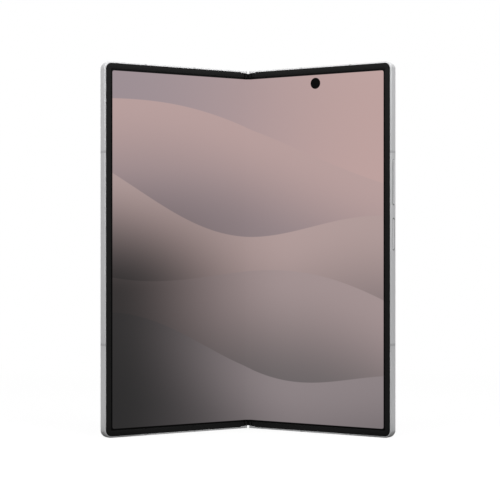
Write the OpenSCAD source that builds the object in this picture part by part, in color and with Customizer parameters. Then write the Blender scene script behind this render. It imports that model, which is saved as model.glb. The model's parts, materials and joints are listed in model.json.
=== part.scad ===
// Book-style folding phone: two thin halves carried by a geared spine hinge.
// It stands upright on its bottom edges, part open, inner display towards -Y.
// Every half is drawn flat: u (along X) runs outwards from the hinge's centre
// plane, depth (along Y) runs from the display side to the back, and Z runs
// upwards from the bottom edge. The left half is the right half mirrored.
// Each half is then turned about its own fold axis.

/* [Halves] */
// Height of both halves, bottom edge to top edge
half_h = 158.4; // [150:0.1:170]
// Width of one half, from the hinge's centre plane to its outer side
half_w = 71.6; // [70.5:0.1:78]
// Thickness of one half
half_t = 4.2; // [4.1:0.05:5]
// Radius of the outer corners
corner_r = 3.2; // [2.6:0.1:6]
// Radius of the frame's rounded outer edges
edge_r = 0.55; // [0.3:0.05:0.6]
// Angle by which each half is folded forwards from flat
fold_angle = 32.3; // [0:0.1:60]

/* [Frame] */
// Width of the bare metal rim round the display
rim_w = 0.65; // [0.62:0.01:0.9]
// Thickness of the outer side walls behind the display
wall_w = 1.6; // [1.3:0.05:2]
// Thickness of the mid-plate between display and electronics
mid_plate_t = 0.5; // [0.35:0.05:0.7]
// Width of the solid beam beside the hinge
beam_w = 11; // [10.5:0.1:13]
// Width of the moulded antenna breaks
band_w = 1; // [0.6:0.1:1.6]
// Height of the lower side break above the bottom edge
band_low = 39.2; // [34:0.1:50]
// Distance of the upper side break below the top edge
band_high = 38.1; // [34:0.1:38.5]
// Distance of the inner top and bottom breaks from the SIM tray's middle
band_tray = 6.6; // [6.3:0.1:7.8]
// Distance of the outer top and bottom breaks from the half's outer side
band_side = 19.6; // [18.6:0.1:20.6]

/* [Inner display] */
// Depth of the screen glass below the frame's front plane
glass_inset = 0.15; // [0.1:0.01:0.25]
// Thickness of the folding screen glass
glass_t = 0.2; // [0.1:0.01:0.25]
// Thickness of the light-emitting panel
panel_t = 0.2; // [0.1:0.01:0.25]
// Thickness of the support plate behind the panel
support_t = 0.2; // [0.1:0.01:0.25]
// Distance of the display stack's edge from the half's outer edges
screen_edge = 1.5; // [1.4:0.05:1.8]
// Width of the plastic bezel round the display
bezel_w = 2.36; // [1.8:0.01:2.6]
// Height of the bezel above the frame's front plane
bezel_proud = 0.1; // [0:0.01:0.2]
// Distance from the centre plane at which the bezel starts at its full width
bezel_start = 4.2; // [4:0.1:5]
// Distance from the centre plane at which the bezel's narrow end tabs start
tab_start = 2.5; // [2.4:0.05:3.5]
// Half the width of the display's folding zone
flex_half = 2.6; // [2.4:0.1:2.8]
// Distance from the centre plane at which the support plates start
support_start = 4.4; // [4.2:0.1:5]
// Radius of the punch hole for the front camera
punch_r = 2.4; // [2:0.1:3]
// Distance of the front camera from the centre plane
punch_u = 34.8; // [32:0.1:38]
// Distance of the front camera below the top edge
punch_drop = 7.35; // [7:0.05:8.5]

/* [Hinge] */
// Distance of each fold axis from the centre plane
axis_u = 1.4; // [1.35:0.01:1.45]
// Half the gap between the two frames when the phone is shut
shut_gap = 0.25; // [0.2:0.01:0.3]
// Outer radius of the spine cover about each fold axis
spine_r = 2.6; // [2.55:0.01:2.65]
// Wall of the spine cover
spine_wall = 0.3; // [0.25:0.01:0.35]
// Gap between the spine and the halves that turn round it
spine_gap = 0.1; // [0.06:0.01:0.12]
// Half the width of the notch between the halves' end walls
notch_half = 0.5; // [0.4:0.05:0.6]
// Half the seam between the two back walls when the phone is flat
seam_half = 0.1; // [0.05:0.01:0.15]
// Thickness of the halves' end walls over the spine
end_wall = 1; // [0.8:0.05:1.2]
// Distance of each hinge module from the spine's middle
module_offset = 49.2; // [40:0.1:54]
// Distance of the gear shafts from the centre plane, their pitch radius
gear_u = 0.95; // [0.93:0.01:0.97]
// Depth of the gear shafts
gear_depth = 2.3; // [2.28:0.01:2.32]
// Teeth on each synchronising gear
gear_teeth = 10; // [8:2:12]
// Radius of the gear shafts
shaft_r = 0.35; // [0.3:0.01:0.38]
// Running clearance of shafts, pins and rails
run_gap = 0.05; // [0.03:0.01:0.08]
// Length of the swing arms, shaft to pin
arm_len = 8; // [7.8:0.1:8.2]
// Thickness of the swing arms
arm_t = 0.4; // [0.3:0.02:0.4]
// Width of the swing arms along the hinge
arm_w = 3.8; // [3:0.1:4.2]
// Radius of the pins at the arms' ends
pin_r = 0.3; // [0.2:0.02:0.35]
// Play of the pins across their slots
pin_play = 0.2; // [0.18:0.01:0.22]
// Inner radius of the curved rails about the fold axis
rail_r = 1.5; // [1.48:0.01:1.55]
// Radial thickness of the curved rails
rail_t = 0.5; // [0.4:0.02:0.5]
// Width of the curved rails along the hinge
rail_w = 2.5; // [2:0.1:2.6]
// Length of each stack of disc springs
spring_len = 3.5; // [3:0.1:5]
// Width of the flat cables that cross the hinge
flex_w = 11; // [8:0.5:14]
// Thickness of the flat cables that cross the hinge
flex_t = 0.16; // [0.1:0.01:0.2]
// Distance of each flat cable from the spine's middle
flex_offset = 13; // [10:0.5:18]

/* [Backs and cameras] */
// Thickness of the glass on both backs
back_glass_t = 0.6; // [0.4:0.02:0.7]
// Width of the metal rim round the back glass
back_rim = 1; // [0.8:0.05:1.3]
// Distance from the centre plane at which the back glass starts
back_start = 5.6; // [5.4:0.1:6.5]
// Thickness of the outer display's panel
cover_panel_t = 0.25; // [0.15:0.01:0.3]
// Distance of the outer display's camera below the top edge
cover_camera_drop = 6.6; // [6.4:0.1:7.5]
// Width of the raised camera deck
deck_w = 17; // [16:0.5:18]
// Height of the camera deck above the back glass
deck_t = 1.2; // [0.8:0.05:1.6]
// Distance of the camera deck's middle line from the half's outer side
deck_side = 12.6; // [12.1:0.1:13.1]
// Distance of the top camera below the top edge
camera_drop = 15.5; // [14:0.1:18]
// Spacing of the three rear cameras
camera_pitch = 15.4; // [14:0.1:16]
// Radius of the rear lens windows
lens_r = 5.4; // [5:0.1:5.8]
// Radial width of the rear camera rings
ring_w = 1.2; // [0.8:0.1:1.5]
// Height of the rear camera rings above the deck
ring_h = 0.55; // [0.45:0.05:0.8]
// Radius of the flash window
flash_r = 1.7; // [1.2:0.1:2]

/* [Keys and ports] */
// Distance of the volume key's middle below the top edge
volume_drop = 50.8; // [50.4:0.1:54]
// Length of the volume key
volume_len = 18.9; // [15:0.1:20]
// Distance of the side key's middle below the top edge
side_drop = 72.7; // [71:0.1:76]
// Length of the side key
side_len = 13.1; // [11:0.1:14]
// Width of both keys across the frame
key_w = 1.5; // [1.2:0.05:1.8]
// Height of the volume key above the frame's side
volume_proud = 0.35; // [0.1:0.05:0.5]
// Depth of the side key below the frame's side
side_sunk = 0.08; // [0:0.01:0.15]
// Clearance round the keys in their slots
key_gap = 0.08; // [0.06:0.01:0.12]
// Gap left at each end of the side key's slot
side_end = 0.3; // [0.1:0.05:0.4]
// Travel of the keys
key_travel = 0.2; // [0.15:0.01:0.25]
// Distance of the charging port from the centre plane
port_u = 36; // [33:0.1:39]
// Depth of the charging port's middle
port_depth = 2.17; // [2.16:0.01:2.19]
// Width of the charging port's mouth
port_w = 8.34; // [8.34:0.01:8.4]
// Height of the charging port's mouth
port_t = 2.56; // [2.5:0.01:2.58]
// Wall of the charging port's shell
port_wall = 0.12; // [0.1:0.01:0.13]
// Length of the charging port's shell
port_len = 7.6; // [7:0.1:9]
// Distance of the SIM tray's middle from the centre plane
tray_u = 21.2; // [21:0.1:21.4]
// Width of the SIM tray's plate
tray_w = 10.4; // [10.2:0.1:10.6]
// Thickness of the SIM tray's plate
tray_t = 0.9; // [0.9:0.02:1]
// Depth of the SIM tray into the phone
tray_len = 18; // [17:0.1:20]
// Length of the SIM card
card_len = 12.3; // [12.2:0.1:12.4]
// Width of the SIM card
card_w = 8.8; // [8.7:0.1:8.9]
// Thickness of the SIM card
card_t = 0.67; // [0.6:0.01:0.7]

/* [Electronics] */
// Thickness of the circuit boards
board_t = 0.5; // [0.4:0.05:0.7]
// Height of the screw bosses that carry the boards
boss_h = 0.3; // [0.2:0.05:0.4]
// Radius of the screw bosses
boss_r = 1.1; // [0.9:0.05:1.3]
// Radius of the screw shanks
screw_r = 0.5; // [0.4:0.05:0.6]
// Radius of the screw heads
head_r = 0.9; // [0.8:0.05:1]
// Height of the screw heads
head_h = 0.4; // [0.3:0.05:0.6]
// Clearance between neighbouring parts inside
fit_gap = 0.1; // [0.08:0.01:0.12]
// Height of the right battery
battery_h = 71; // [60:0.5:72]
// Height of the right battery's lower end above the bottom edge
battery_z = 27; // [26.5:0.1:28]
// Height of the left battery
left_battery_h = 86; // [70:0.5:87]
// Outer radius of the charging coil
coil_r = 20; // [16:0.5:22]

/* [Hidden] */
$fn = 96;
// How far cutting shapes run past the faces they cut
cut = 1;
// Larger than any part, for cutting away whole regions
far = 400;

// Fold geometry
axis_depth = axis_u - shut_gap;
front_y = axis_depth - (half_w - axis_u) * sin(fold_angle) - axis_depth * cos(fold_angle);
back_y = axis_depth + (half_t - axis_depth) * cos(fold_angle)
  + (axis_u - seam_half) * sin(fold_angle);
shift_y = -(front_y + back_y) / 2;

// Layers of a half, as depths from the front plane
panel_y = glass_inset + glass_t;
support_y = panel_y + panel_t;
seat_y = support_y + support_t;
room_y = seat_y + mid_plate_t;
back_seat_y = half_t - back_glass_t;
board_y = room_y + boss_h;
board_back_y = board_y + board_t;
cover_panel_y = back_seat_y - cover_panel_t;
bore_r = spine_r + spine_gap;
beam_u = axis_u + bore_r + beam_w;
room_u1 = half_w - wall_w;
band_outer = half_w - band_side;
band_inner = tray_u + band_tray;
mid_z = half_h / 2;

// Spine and hinge
cavity_r = spine_r - spine_wall;
spine_z0 = end_wall + spine_gap;
spine_z1 = half_h - spine_z0;
spine_lip_y = axis_depth + run_gap;
spine_plug = rim_w + bezel_w - spine_z0 - fit_gap;
slot_floor_y = gear_depth + arm_t / 2 - run_gap;
block_y = gear_depth - shaft_r - 0.2;
module_z = [mid_z - module_offset, mid_z + module_offset];
flex_z = [mid_z - flex_offset, mid_z + flex_offset];
cap_r = 1.05;
// Lengths along one hinge module, measured from the middle of its arm
cheek_gap = 0.25;
cheek_w = 1;
cheek_z = arm_w / 2 + cheek_gap;
pin_half = cheek_z + cheek_w - run_gap;
bearing_z = arm_w / 2 + run_gap + 0.35;
hinge_step = 1.2;
rail_z1 = -bearing_z - hinge_step;
rail_z0 = rail_z1 - rail_w;
block_z0 = rail_z0 - 0.9;
spring_z0 = bearing_z + hinge_step;
spring_z1 = spring_z0 + spring_len;
block_z1 = spring_z1 + hinge_step;
pad_len = 2;
pad_y = axis_depth + cavity_r - 0.7;
pad_screw_r = 0.35;
pad_head_r = 0.7;
// The swing arm's pin runs in a slot at this depth of the half
slot_y = (gear_depth + axis_depth - (axis_u - gear_u)) / 2;
shaft_dx = axis_u - gear_u;
shaft_dy = gear_depth - axis_depth;
shaft_rest_y = axis_depth - shaft_dx * sin(fold_angle) + shaft_dy * cos(fold_angle);
arm_angle = asin((slot_y - shaft_rest_y) / arm_len) - fold_angle;
pin_flat_u = gear_u + sqrt(pow(arm_len, 2) - pow(gear_depth - slot_y, 2));
pin_shut_u = axis_u - shaft_dy + sqrt(pow(arm_len, 2) - pow(gear_depth - slot_y, 2));
bracket_u0 = pin_shut_u - 1.1;
block_u0 = pin_flat_u + 1;
block_u1 = block_u0 + 4;
bracket_y0 = seat_y + run_gap;
bracket_y1 = slot_y + pin_r + pin_play + 0.4;
tongue_t = 0.3;
pocket_y = bracket_y1 + fit_gap;
// Reach of the curved rail in front of its axis and past the axis behind, in degrees
rail_front = 12;
rail_back = 22;
// Gear teeth
tooth_out = gear_u + 0.11;
tooth_root = gear_u - 0.19;
tooth_root_w = 0.26;
tooth_tip_w = 0.1;

// Cameras
deck_u = half_w - deck_side;
camera_z = [for (i = [0 : 2]) half_h - camera_drop - i * camera_pitch];
deck_y = half_t + deck_t;
deck_bore_r = lens_r - 0.4;
barrel_r = deck_bore_r - 0.2;
lens_t = 0.4;
camera_body = 12;
camera_body_t = 1.6;
camera_body_r = 1;
flash_clear = 4.5;
flash_back = 0.4;
flash_u = deck_u - deck_w / 2 - flash_clear;
punch_z = half_h - punch_drop;
cover_camera_u = (back_start + half_w - back_rim) / 2;
cover_camera_z = half_h - cover_camera_drop;
cover_camera_r = 1.9;
small_camera = 5.6;
small_camera_t = 1.3;
small_camera_r = 0.5;

// Keys
key_y = half_t / 2;
volume_z = half_h - volume_drop;
side_z = half_h - side_drop;
flange_t = 0.45;
flange_h = 0.5;
volume_flange_u = room_u1 - key_travel - run_gap - flange_t;
side_flange_u = room_u1 - run_gap - flange_t;
dome_gap = key_travel + run_gap;
strip_t = 0.3;
strip_end = 2;
dome_r = 0.8;
dome_h = 0.4;
strip_u = volume_flange_u - dome_gap - dome_h - strip_t;

// Electronics of the right half
board_clear = 0.9;
camera_clear = 3.4;
battery_clear = 3;
lower_clear = 2;
screw_inset = 1.6;
can_margin = 3.4;
can_split = 1.6;
can_notch = 8;
swell_gap = 0.3;
battery_r = 1.5;
port_side = 8.5;
speaker_clear = 1.6;
speaker_end = 3;
board_u0 = beam_u + board_clear;
board_u1 = deck_u - camera_body / 2 - camera_clear;
board_z0 = battery_z + battery_h + battery_clear;
board_z1 = punch_z - small_camera / 2 - board_clear;
can_t = back_seat_y - board_back_y - 4 * fit_gap;
battery_u1 = strip_u - battery_r;
battery_t = back_seat_y - room_y - swell_gap;
lower_z1 = battery_z - lower_clear;
lower_u1 = port_u + port_side;
speaker_u0 = lower_u1 + speaker_clear;
coil_t = 0.15;
coil_hole_r = 9;
coil_turns = 6;
mic_r = 0.35;
mic_w = 3;
mic_h = 2.2;
mic_u = 6;
tongue_w = 6.7;
usb_tongue_t = 0.7;
usb_back = 0.8;
slot_step = 2;
slot_len = 1.4;
slot_w = 0.7;

// SIM tray
tray_head_w = tray_w + 0.8;
tray_head_t = 1.7;
tray_rail = 1;
eject_r = 0.4;
eject_inset = 1.4;
card_corner = 1.5;
tray_y = half_t / 2 - tray_t / 2;
reader_wall = 0.2;
reader_u0 = tray_u - tray_w / 2 - fit_gap - reader_wall;
reader_u1 = tray_u + tray_w / 2 + fit_gap + reader_wall;
reader_z0 = half_h - tray_len - card_corner;

// Electronics of the left half
reader_clear = 1.2;
left_board_side = 4.1;
left_battery_clear = 2.5;
motor_len = 14;
motor_w = 8;
motor_clear = 4;
top_speaker_w = 12;
top_speaker_h = 8;
top_speaker_over = 2;
left_board_u0 = reader_u1 + reader_clear;
left_board_u1 = room_u1 - left_board_side;
left_battery_z1 = battery_z + left_battery_h;
left_board_z0 = left_battery_z1 + battery_clear;
left_board_z1 = cover_camera_z - small_camera / 2 - lower_clear;
left_battery_t = cover_panel_y - room_y - swell_gap / 2;
magnet_z = [30, 62];
magnet_len = 8;
magnet_t = 1.2;

// Board screws: the inset corners of each board
function corners(u0, u1, z0, z1) =
  [for (u = [u0 + screw_inset, u1 - screw_inset], z = [z0 + screw_inset, z1 - screw_inset]) [u, z]];
main_screws = corners(board_u0, board_u1, board_z0, board_z1);
lower_screws = [for (u = [board_u0 + screw_inset, lower_u1 - screw_inset]) [u, lower_z1 - screw_inset]];
right_screw_places = concat(main_screws, lower_screws);
left_screw_places = corners(left_board_u0, left_board_u1, left_board_z0, left_board_z1);

// ---- Places and building blocks ----

// Turns a flat right half about its fold axis
module on_right() {
  translate([axis_u, axis_depth + shift_y, 0])
    rotate([0, 0, -fold_angle]) translate([-axis_u, -axis_depth, 0]) children();
}

module on_left() {
  mirror([1, 0, 0]) on_right() children();
}

module on_spine() {
  translate([0, shift_y, 0]) children();
}

// A face drawn in u and Z, thickened from depth y0 to depth y1
module slab(y0, y1) {
  translate([0, y1, 0]) rotate([90, 0, 0]) linear_extrude(y1 - y0) children();
}

// A section drawn in u and depth, drawn upwards from z0 to z1
module column(z0, z1) {
  translate([0, 0, z0]) linear_extrude(z1 - z0) children();
}

// A section drawn in Z and depth, drawn outwards from u0 to u1
module along_u(u0, u1) {
  translate([u0, 0, 0]) rotate([0, 90, 0]) linear_extrude(u1 - u0) mirror([1, 0]) children();
}

module box(u0, u1, y0, y1, z0, z1) {
  translate([u0, y0, z0]) cube([u1 - u0, y1 - y0, z1 - z0]);
}

// A disc whose axis runs through the half's thickness
module disc(u, z, r, y0, y1) {
  translate([u, y0, z]) rotate([-90, 0, 0]) cylinder(r = r, h = y1 - y0);
}

module pill(len, w) {
  square([len - w, w], center = true);
  for (s = [-1, 1]) translate([s * (len - w) / 2, 0]) circle(d = w);
}

module rounded(w, h, r) {
  square([w - 2 * r, h], center = true);
  square([w, h - 2 * r], center = true);
  for (a = [-1, 1], b = [-1, 1]) translate([a * (w / 2 - r), b * (h / 2 - r)]) circle(r);
}

// Face outline of a half, drawn in by inset, from u0 outwards
module outline(inset, u0) {
  r = max(corner_r - inset, 0.3);
  u1 = half_w - inset;
  translate([u0, inset]) square([u1 - r - u0, half_h - 2 * inset]);
  translate([u0, inset + r]) square([u1 - u0, half_h - 2 * (inset + r)]);
  for (z = [inset + r, half_h - inset - r]) translate([u1 - r, z]) circle(r);
}

// Section of a half's outer side, from u0 outwards, with round edges
module side_section(u0, u1) {
  translate([u0, 0]) square([u1 - edge_r - u0, half_t]);
  translate([u0, edge_r]) square([u1 - u0, half_t - 2 * edge_r]);
  for (y = [edge_r, half_t - edge_r]) translate([u1 - edge_r, y]) circle(edge_r);
}

// The whole of a half as one block with round outer edges
module half_blank() {
  along_u(0, half_w - corner_r) translate([mid_z, half_t / 2]) rounded(half_h, half_t, edge_r);
  column(corner_r, half_h - corner_r) side_section(0, half_w);
  for (z = [corner_r, half_h - corner_r]) translate([half_w - corner_r, 0, z])
    rotate([-90, 0, 0]) rotate_extrude() side_section(0, corner_r);
}

// Section that the spine sweeps, at a radius about both fold axes
module spine_section(r) {
  for (s = [-1, 1]) translate([s * axis_u, axis_depth]) circle(r);
  translate([-axis_u, axis_depth - r]) square([2 * axis_u, 2 * r]);
}

// Room for the spine inside a half, with the way for it to turn
module hinge_bore() {
  translate([axis_u, axis_depth]) circle(bore_r);
  translate([-far, -far]) square([far + axis_u, far + axis_depth + bore_r]);
  translate([0, -far]) square([axis_u + bore_r, far + axis_depth]);
  translate([-far, 0]) square([far + seam_half, far]);
}

// What is cut from the end walls so that they pass each other
module end_notch() {
  translate([-far, -far]) square([far + notch_half, 2 * far]);
  difference() {
    translate([-far, -far]) square([far + axis_u, far + axis_depth]);
    translate([axis_u, axis_depth]) circle(axis_u - notch_half);
  }
}

// Gaps that split the outer skin for the antennas, cut well past its outside
module antenna_gaps() {
  difference() {
    union() {
      for (z = [band_low, half_h - band_high])
        box(half_w - corner_r, half_w + cut, -cut, half_t + cut, z - band_w / 2, z + band_w / 2);
      for (u = [band_inner, band_outer])
        box(u - band_w / 2, u + band_w / 2, -cut, half_t + cut, -cut, half_h + cut);
    }
    slab(-2 * cut, half_t + 2 * cut) outline(rim_w, -cut);
  }
}

// The plastic moulded into those gaps
module antenna_breaks() {
  intersection() {
    half_blank();
    antenna_gaps();
  }
}

module screw_bosses(places) {
  for (p = places) disc(p[0], p[1], boss_r, room_y - mid_plate_t / 2, board_y);
}

module screw_bores(places) {
  for (p = places) disc(p[0], p[1], screw_r, seat_y + mid_plate_t / 2, board_y + cut);
}

// Frame shared by both halves: rim, walls, mid-plate and hinge-side beam
module half_frame(places) {
  difference() {
    union() {
      difference() {
        half_blank();
        // seat of the display and bezel
        slab(-cut, seat_y) outline(rim_w, bezel_start);
        // room for the electronics
        slab(room_y, back_seat_y + cut / 2) outline(wall_w, beam_u);
        // seat of the back glass
        slab(back_seat_y, half_t + cut) outline(back_rim, back_start);
      }
      screw_bosses(places);
    }
    screw_bores(places);
    column(end_wall, half_h - end_wall) hinge_bore();
    for (z = [-cut, half_h - end_wall]) column(z, z + end_wall + cut) end_notch();
    // display seat beside the hinge, between the end walls
    box(-cut, bezel_start + cut, -cut, seat_y, end_wall, half_h - end_wall);
    for (z = module_z) box(-cut, block_u1 + fit_gap, -cut, pocket_y,
      z + rail_z0 - fit_gap, z + cheek_z + cheek_w + fit_gap);
    for (z = flex_z) box(0, beam_u + cut, room_y + fit_gap, room_y + 1,
      z - flex_w / 2 - fit_gap, z + flex_w / 2 + fit_gap);
    antenna_gaps();
  }
}

module half_bezel() {
  color("#222326") difference() {
    union() {
      slab(-bezel_proud, seat_y) outline(rim_w, bezel_start);
      box(tab_start, bezel_start + cut, -bezel_proud, seat_y, end_wall, half_h - end_wall);
    }
    slab(-bezel_proud - cut, glass_inset + cut) outline(rim_w + bezel_w, -cut);
    slab(glass_inset, seat_y + cut) outline(screen_edge, -cut);
  }
}

module half_magnets() {
  color("#8d8f93") for (z = magnet_z)
    box(room_u1 - magnet_t, room_u1, room_y, back_seat_y - 3 * fit_gap,
      z - magnet_len / 2, z + magnet_len / 2);
}

module board_screws(places) {
  color("#9a9ca0") for (p = places) {
    disc(p[0], p[1], screw_r, seat_y + mid_plate_t / 2, board_back_y + head_h / 2);
    difference() {
      disc(p[0], p[1], head_r, board_back_y, board_back_y + head_h);
      translate([p[0], board_back_y + head_h / 2, p[1]]) rotate([-90, 0, 0])
        cylinder(r = head_r / 2, h = cut, $fn = 6);
    }
  }
}

// A board on its bosses, with a hole for each screw
module board(u0, u1, z0, z1, places) {
  difference() {
    box(u0, u1, board_y, board_back_y, z0, z1);
    for (p = places) disc(p[0], p[1], screw_r, board_y - cut, board_back_y + cut);
  }
}

// A row of short slots through an end wall, from z0 to z1
module grille(u0, count, z0, z1) {
  for (i = [0 : count - 1]) column(z0, z1)
    translate([u0 + i * slot_step, half_t / 2]) rotate(90) pill(slot_len, slot_w);
}

// ---- Spine ----

module spine_cover() {
  color("#b9babd") on_spine() difference() {
    column(spine_z0, spine_z1) intersection() {
      spine_section(spine_r);
      translate([-far, spine_lip_y]) square([2 * far, far]);
    }
    column(spine_z0 + spine_plug, spine_z1 - spine_plug) spine_section(cavity_r);
    for (z = module_z) box(-far, far, 0, slot_floor_y, z - cheek_z, z + cheek_z);
    for (z = flex_z) box(-far, far, 0, slot_floor_y, z - flex_w / 2 - fit_gap, z + flex_w / 2 + fit_gap);
    for (z = module_z, e = [block_z0 - pad_len / 2, block_z1 + pad_len / 2], s = [-1, 1])
      disc(s * gear_u, z + e, pad_screw_r, 0, axis_depth + cavity_r + spine_wall / 2);
  }
}

// Section of the blocks that fill the spine's channel
module block_section(y0) {
  intersection() {
    spine_section(cavity_r);
    translate([-far, y0]) square([2 * far, far]);
  }
}

module shafts_section(r) {
  for (s = [-1, 1]) translate([s * gear_u, gear_depth]) circle(r);
}

module screw_pad(z) {
  difference() {
    column(z - pad_len / 2, z + pad_len / 2) block_section(pad_y);
    for (s = [-1, 1]) disc(s * gear_u, z, pad_screw_r, 0, far);
  }
}

module hinge_blocks() {
  color("#6f7276") on_spine() for (z = module_z) translate([0, 0, z]) {
    // rail block, with one curved groove for each half
    difference() {
      column(block_z0, -bearing_z) block_section(block_y);
      column(rail_z0 - run_gap, rail_z1 + run_gap) for (s = [0, 1]) mirror([s, 0]) intersection() {
        translate([axis_u, axis_depth]) difference() {
          circle(rail_r + rail_t + run_gap);
          circle(rail_r - run_gap);
        }
        translate([0.12, 0]) square(far);
      }
      column(-bearing_z - 0.7, far) shafts_section(shaft_r + run_gap);
    }
    // two bearing plates on a floor, with the springs between them
    difference() {
      union() {
        column(bearing_z, block_z1) block_section(pad_y + 0.45);
        column(bearing_z, spring_z0) block_section(block_y);
        column(spring_z1, block_z1) block_section(block_y);
      }
      column(0, far) shafts_section(shaft_r + run_gap);
    }
    screw_pad(block_z0 - pad_len / 2);
    screw_pad(block_z1 + pad_len / 2);
  }
}

// Stacks of disc springs that press the detents on the gear shafts
module hinge_springs() {
  folds = 7;
  step = spring_len / folds;
  r0 = shaft_r + run_gap;
  r1 = gear_u - fit_gap;
  r2 = (r0 + 2 * r1) / 3;
  color("#c8b26a") on_spine() for (z = module_z, s = [-1, 1])
    translate([s * gear_u, gear_depth, z + spring_z0]) rotate_extrude()
      polygon(concat([[r0, 0]],
        [for (i = [0 : folds - 1]) each
          [[r1, i * step], [r1, (i + 0.5) * step], [r2, (i + 0.75) * step]]],
        [[r2, spring_len], [r0, spring_len]]));
}

module hinge_screws() {
  color("#a5a7aa") on_spine()
    for (z = module_z, e = [block_z0 - pad_len / 2, block_z1 + pad_len / 2], s = [-1, 1]) {
      disc(s * gear_u, z + e, pad_screw_r, pad_y - head_h / 2, axis_depth + cavity_r + spine_wall / 2);
      difference() {
        disc(s * gear_u, z + e, pad_head_r, pad_y - head_h, pad_y);
        translate([s * gear_u, pad_y - head_h - cut, z + e]) rotate([-90, 0, 0])
          cylinder(r = pad_head_r / 2, h = cut + head_h / 2, $fn = 6);
      }
    }
}

// Two-lobed caps that close the ends of the display's fold
module fold_caps() {
  color("#303236") on_spine() for (z = [spine_z0 + fit_gap, spine_z1 - spine_plug])
    column(z, z + spine_plug - fit_gap) intersection() {
      for (s = [-1, 1]) translate([s * cap_r, axis_depth]) circle(cap_r);
      translate([-far, -far]) square([2 * far, far + spine_lip_y]);
    }
}

// The folding zone of the display: a round bend that meets both halves
module display_fold_zone() {
  stack_mid = glass_inset + (glass_t + panel_t) / 2;
  end_x = axis_u + (flex_half - axis_u) * cos(fold_angle) + (stack_mid - axis_depth) * sin(fold_angle);
  end_y = axis_depth + (stack_mid - axis_depth) * cos(fold_angle) - (flex_half - axis_u) * sin(fold_angle);
  bend = max(fold_angle, 0.5);
  bend_r = end_x / sin(bend);
  color("#101012") on_spine() column(spine_z0 + spine_plug + fit_gap, spine_z1 - spine_plug - fit_gap)
    translate([0, end_y - bend_r * cos(bend)]) intersection() {
      difference() {
        circle(bend_r + (glass_t + panel_t) / 2, $fn = 240);
        circle(bend_r - (glass_t + panel_t) / 2, $fn = 240);
      }
      polygon([[0, 0], [far * sin(bend), far * cos(bend)], [-far * sin(bend), far * cos(bend)]]);
    }
}

function unit(v) = v / norm(v);
function left_of(v) = [-v[1], v[0]];

// Mitred edge of a ribbon, at distance w to the left of its middle line
function ribbon_edge(p, w) = [for (i = [0 : len(p) - 1]) let (
  before = unit(p[max(i, 1)] - p[max(i, 1) - 1]),
  after = unit(p[min(i + 1, len(p) - 1)] - p[min(i, len(p) - 2)]),
  side = left_of(unit(before + after))) p[i] + side * w / (side * left_of(before))];

function reversed(p) = [for (i = [len(p) - 1 : -1 : 0]) p[i]];

// A ribbon of even thickness through a list of points
module ribbon(points, t) {
  polygon(concat(ribbon_edge(points, t / 2), reversed(ribbon_edge(points, -t / 2))));
}

function turned(u, y) = [
  axis_u + (u - axis_u) * cos(fold_angle) + (y - axis_depth) * sin(fold_angle),
  axis_depth + (y - axis_depth) * cos(fold_angle) - (u - axis_u) * sin(fold_angle)];

// Flat cables between the halves' boards, dipping into the spine
module hinge_flex_cables() {
  lane = room_y + 0.5;
  floor_y = axis_depth + cavity_r - flex_t;
  side = [turned(board_u0 - fit_gap, lane), turned(axis_u + bore_r, lane), [axis_u, floor_y]];
  other = [for (p = reversed(side)) [-p[0], p[1]]];
  color("#b5651d") on_spine() for (z = flex_z)
    column(z - flex_w / 2, z + flex_w / 2) ribbon(concat(side, other), flex_t);
}

// ---- Swing arms ----

module gear_section(turn) {
  rotate(turn) {
    circle(tooth_root);
    for (i = [0 : gear_teeth - 1]) rotate(i * 360 / gear_teeth)
      polygon([[0, -tooth_root_w / 2], [tooth_root, -tooth_root_w / 2], [tooth_out, -tooth_tip_w / 2],
        [tooth_out, tooth_tip_w / 2], [tooth_root, tooth_root_w / 2], [0, tooth_root_w / 2]]);
  }
}

// Arm, gear and shaft as one piece; turn sets the gear in mesh
module swing_arm(turn) {
  translate([gear_u, gear_depth, 0]) {
    column(-arm_w / 2, arm_w / 2) {
      gear_section(turn);
      rotate(arm_angle) translate([0, -arm_t / 2]) square([arm_len, arm_t]);
      rotate(arm_angle) translate([arm_len, 0]) circle(pin_r + 0.1);
    }
    column(-bearing_z - 0.6, block_z1 - 0.3) circle(shaft_r);
    rotate(arm_angle) translate([arm_len, 0]) column(-pin_half, pin_half) circle(pin_r);
  }
}

module right_swing_arms() {
  color("#85888c") on_spine() for (z = module_z) translate([0, 0, z]) swing_arm(180);
}

module left_swing_arms() {
  color("#85888c") on_spine() for (z = module_z) translate([0, 0, z])
    mirror([1, 0, 0]) swing_arm(180 + 180 / gear_teeth);
}

// Bracket in a half: slotted cheeks for the pin, and the curved rail
module hinge_brackets() {
  color("#7c7f83") for (z = module_z) translate([0, 0, z]) {
    column(rail_z0, cheek_z + cheek_w)
      translate([block_u0, bracket_y0]) square([block_u1 - block_u0, bracket_y1 - bracket_y0]);
    for (s = [0, 1]) mirror([0, 0, s]) column(cheek_z, cheek_z + cheek_w) difference() {
      translate([bracket_u0, bracket_y0]) square([block_u0 - bracket_u0 + run_gap, bracket_y1 - bracket_y0]);
      translate([(pin_flat_u + pin_shut_u) / 2, slot_y])
        pill(pin_flat_u - pin_shut_u + 2 * (pin_r + pin_play) + 0.2, 2 * (pin_r + pin_play));
    }
    column(rail_z0, rail_z1) {
      translate([axis_u + rail_r + rail_t / 2, bracket_y0])
        square([block_u0 - axis_u - rail_r, tongue_t]);
      translate([axis_u, axis_depth]) intersection() {
        difference() {
          circle(rail_r + rail_t);
          circle(rail_r);
        }
        polygon([[0, 0], [far * cos(rail_front), -far * sin(rail_front)], [far, far], [0, far],
          [-far * sin(rail_back), far * cos(rail_back)]]);
      }
    }
  }
}

module left_hinge_brackets() { on_left() hinge_brackets(); }

module right_hinge_brackets() { on_right() hinge_brackets(); }

// ---- Both displays' layers ----

module left_bezel() { on_left() half_bezel(); }

module right_bezel() { on_right() half_bezel(); }

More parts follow.
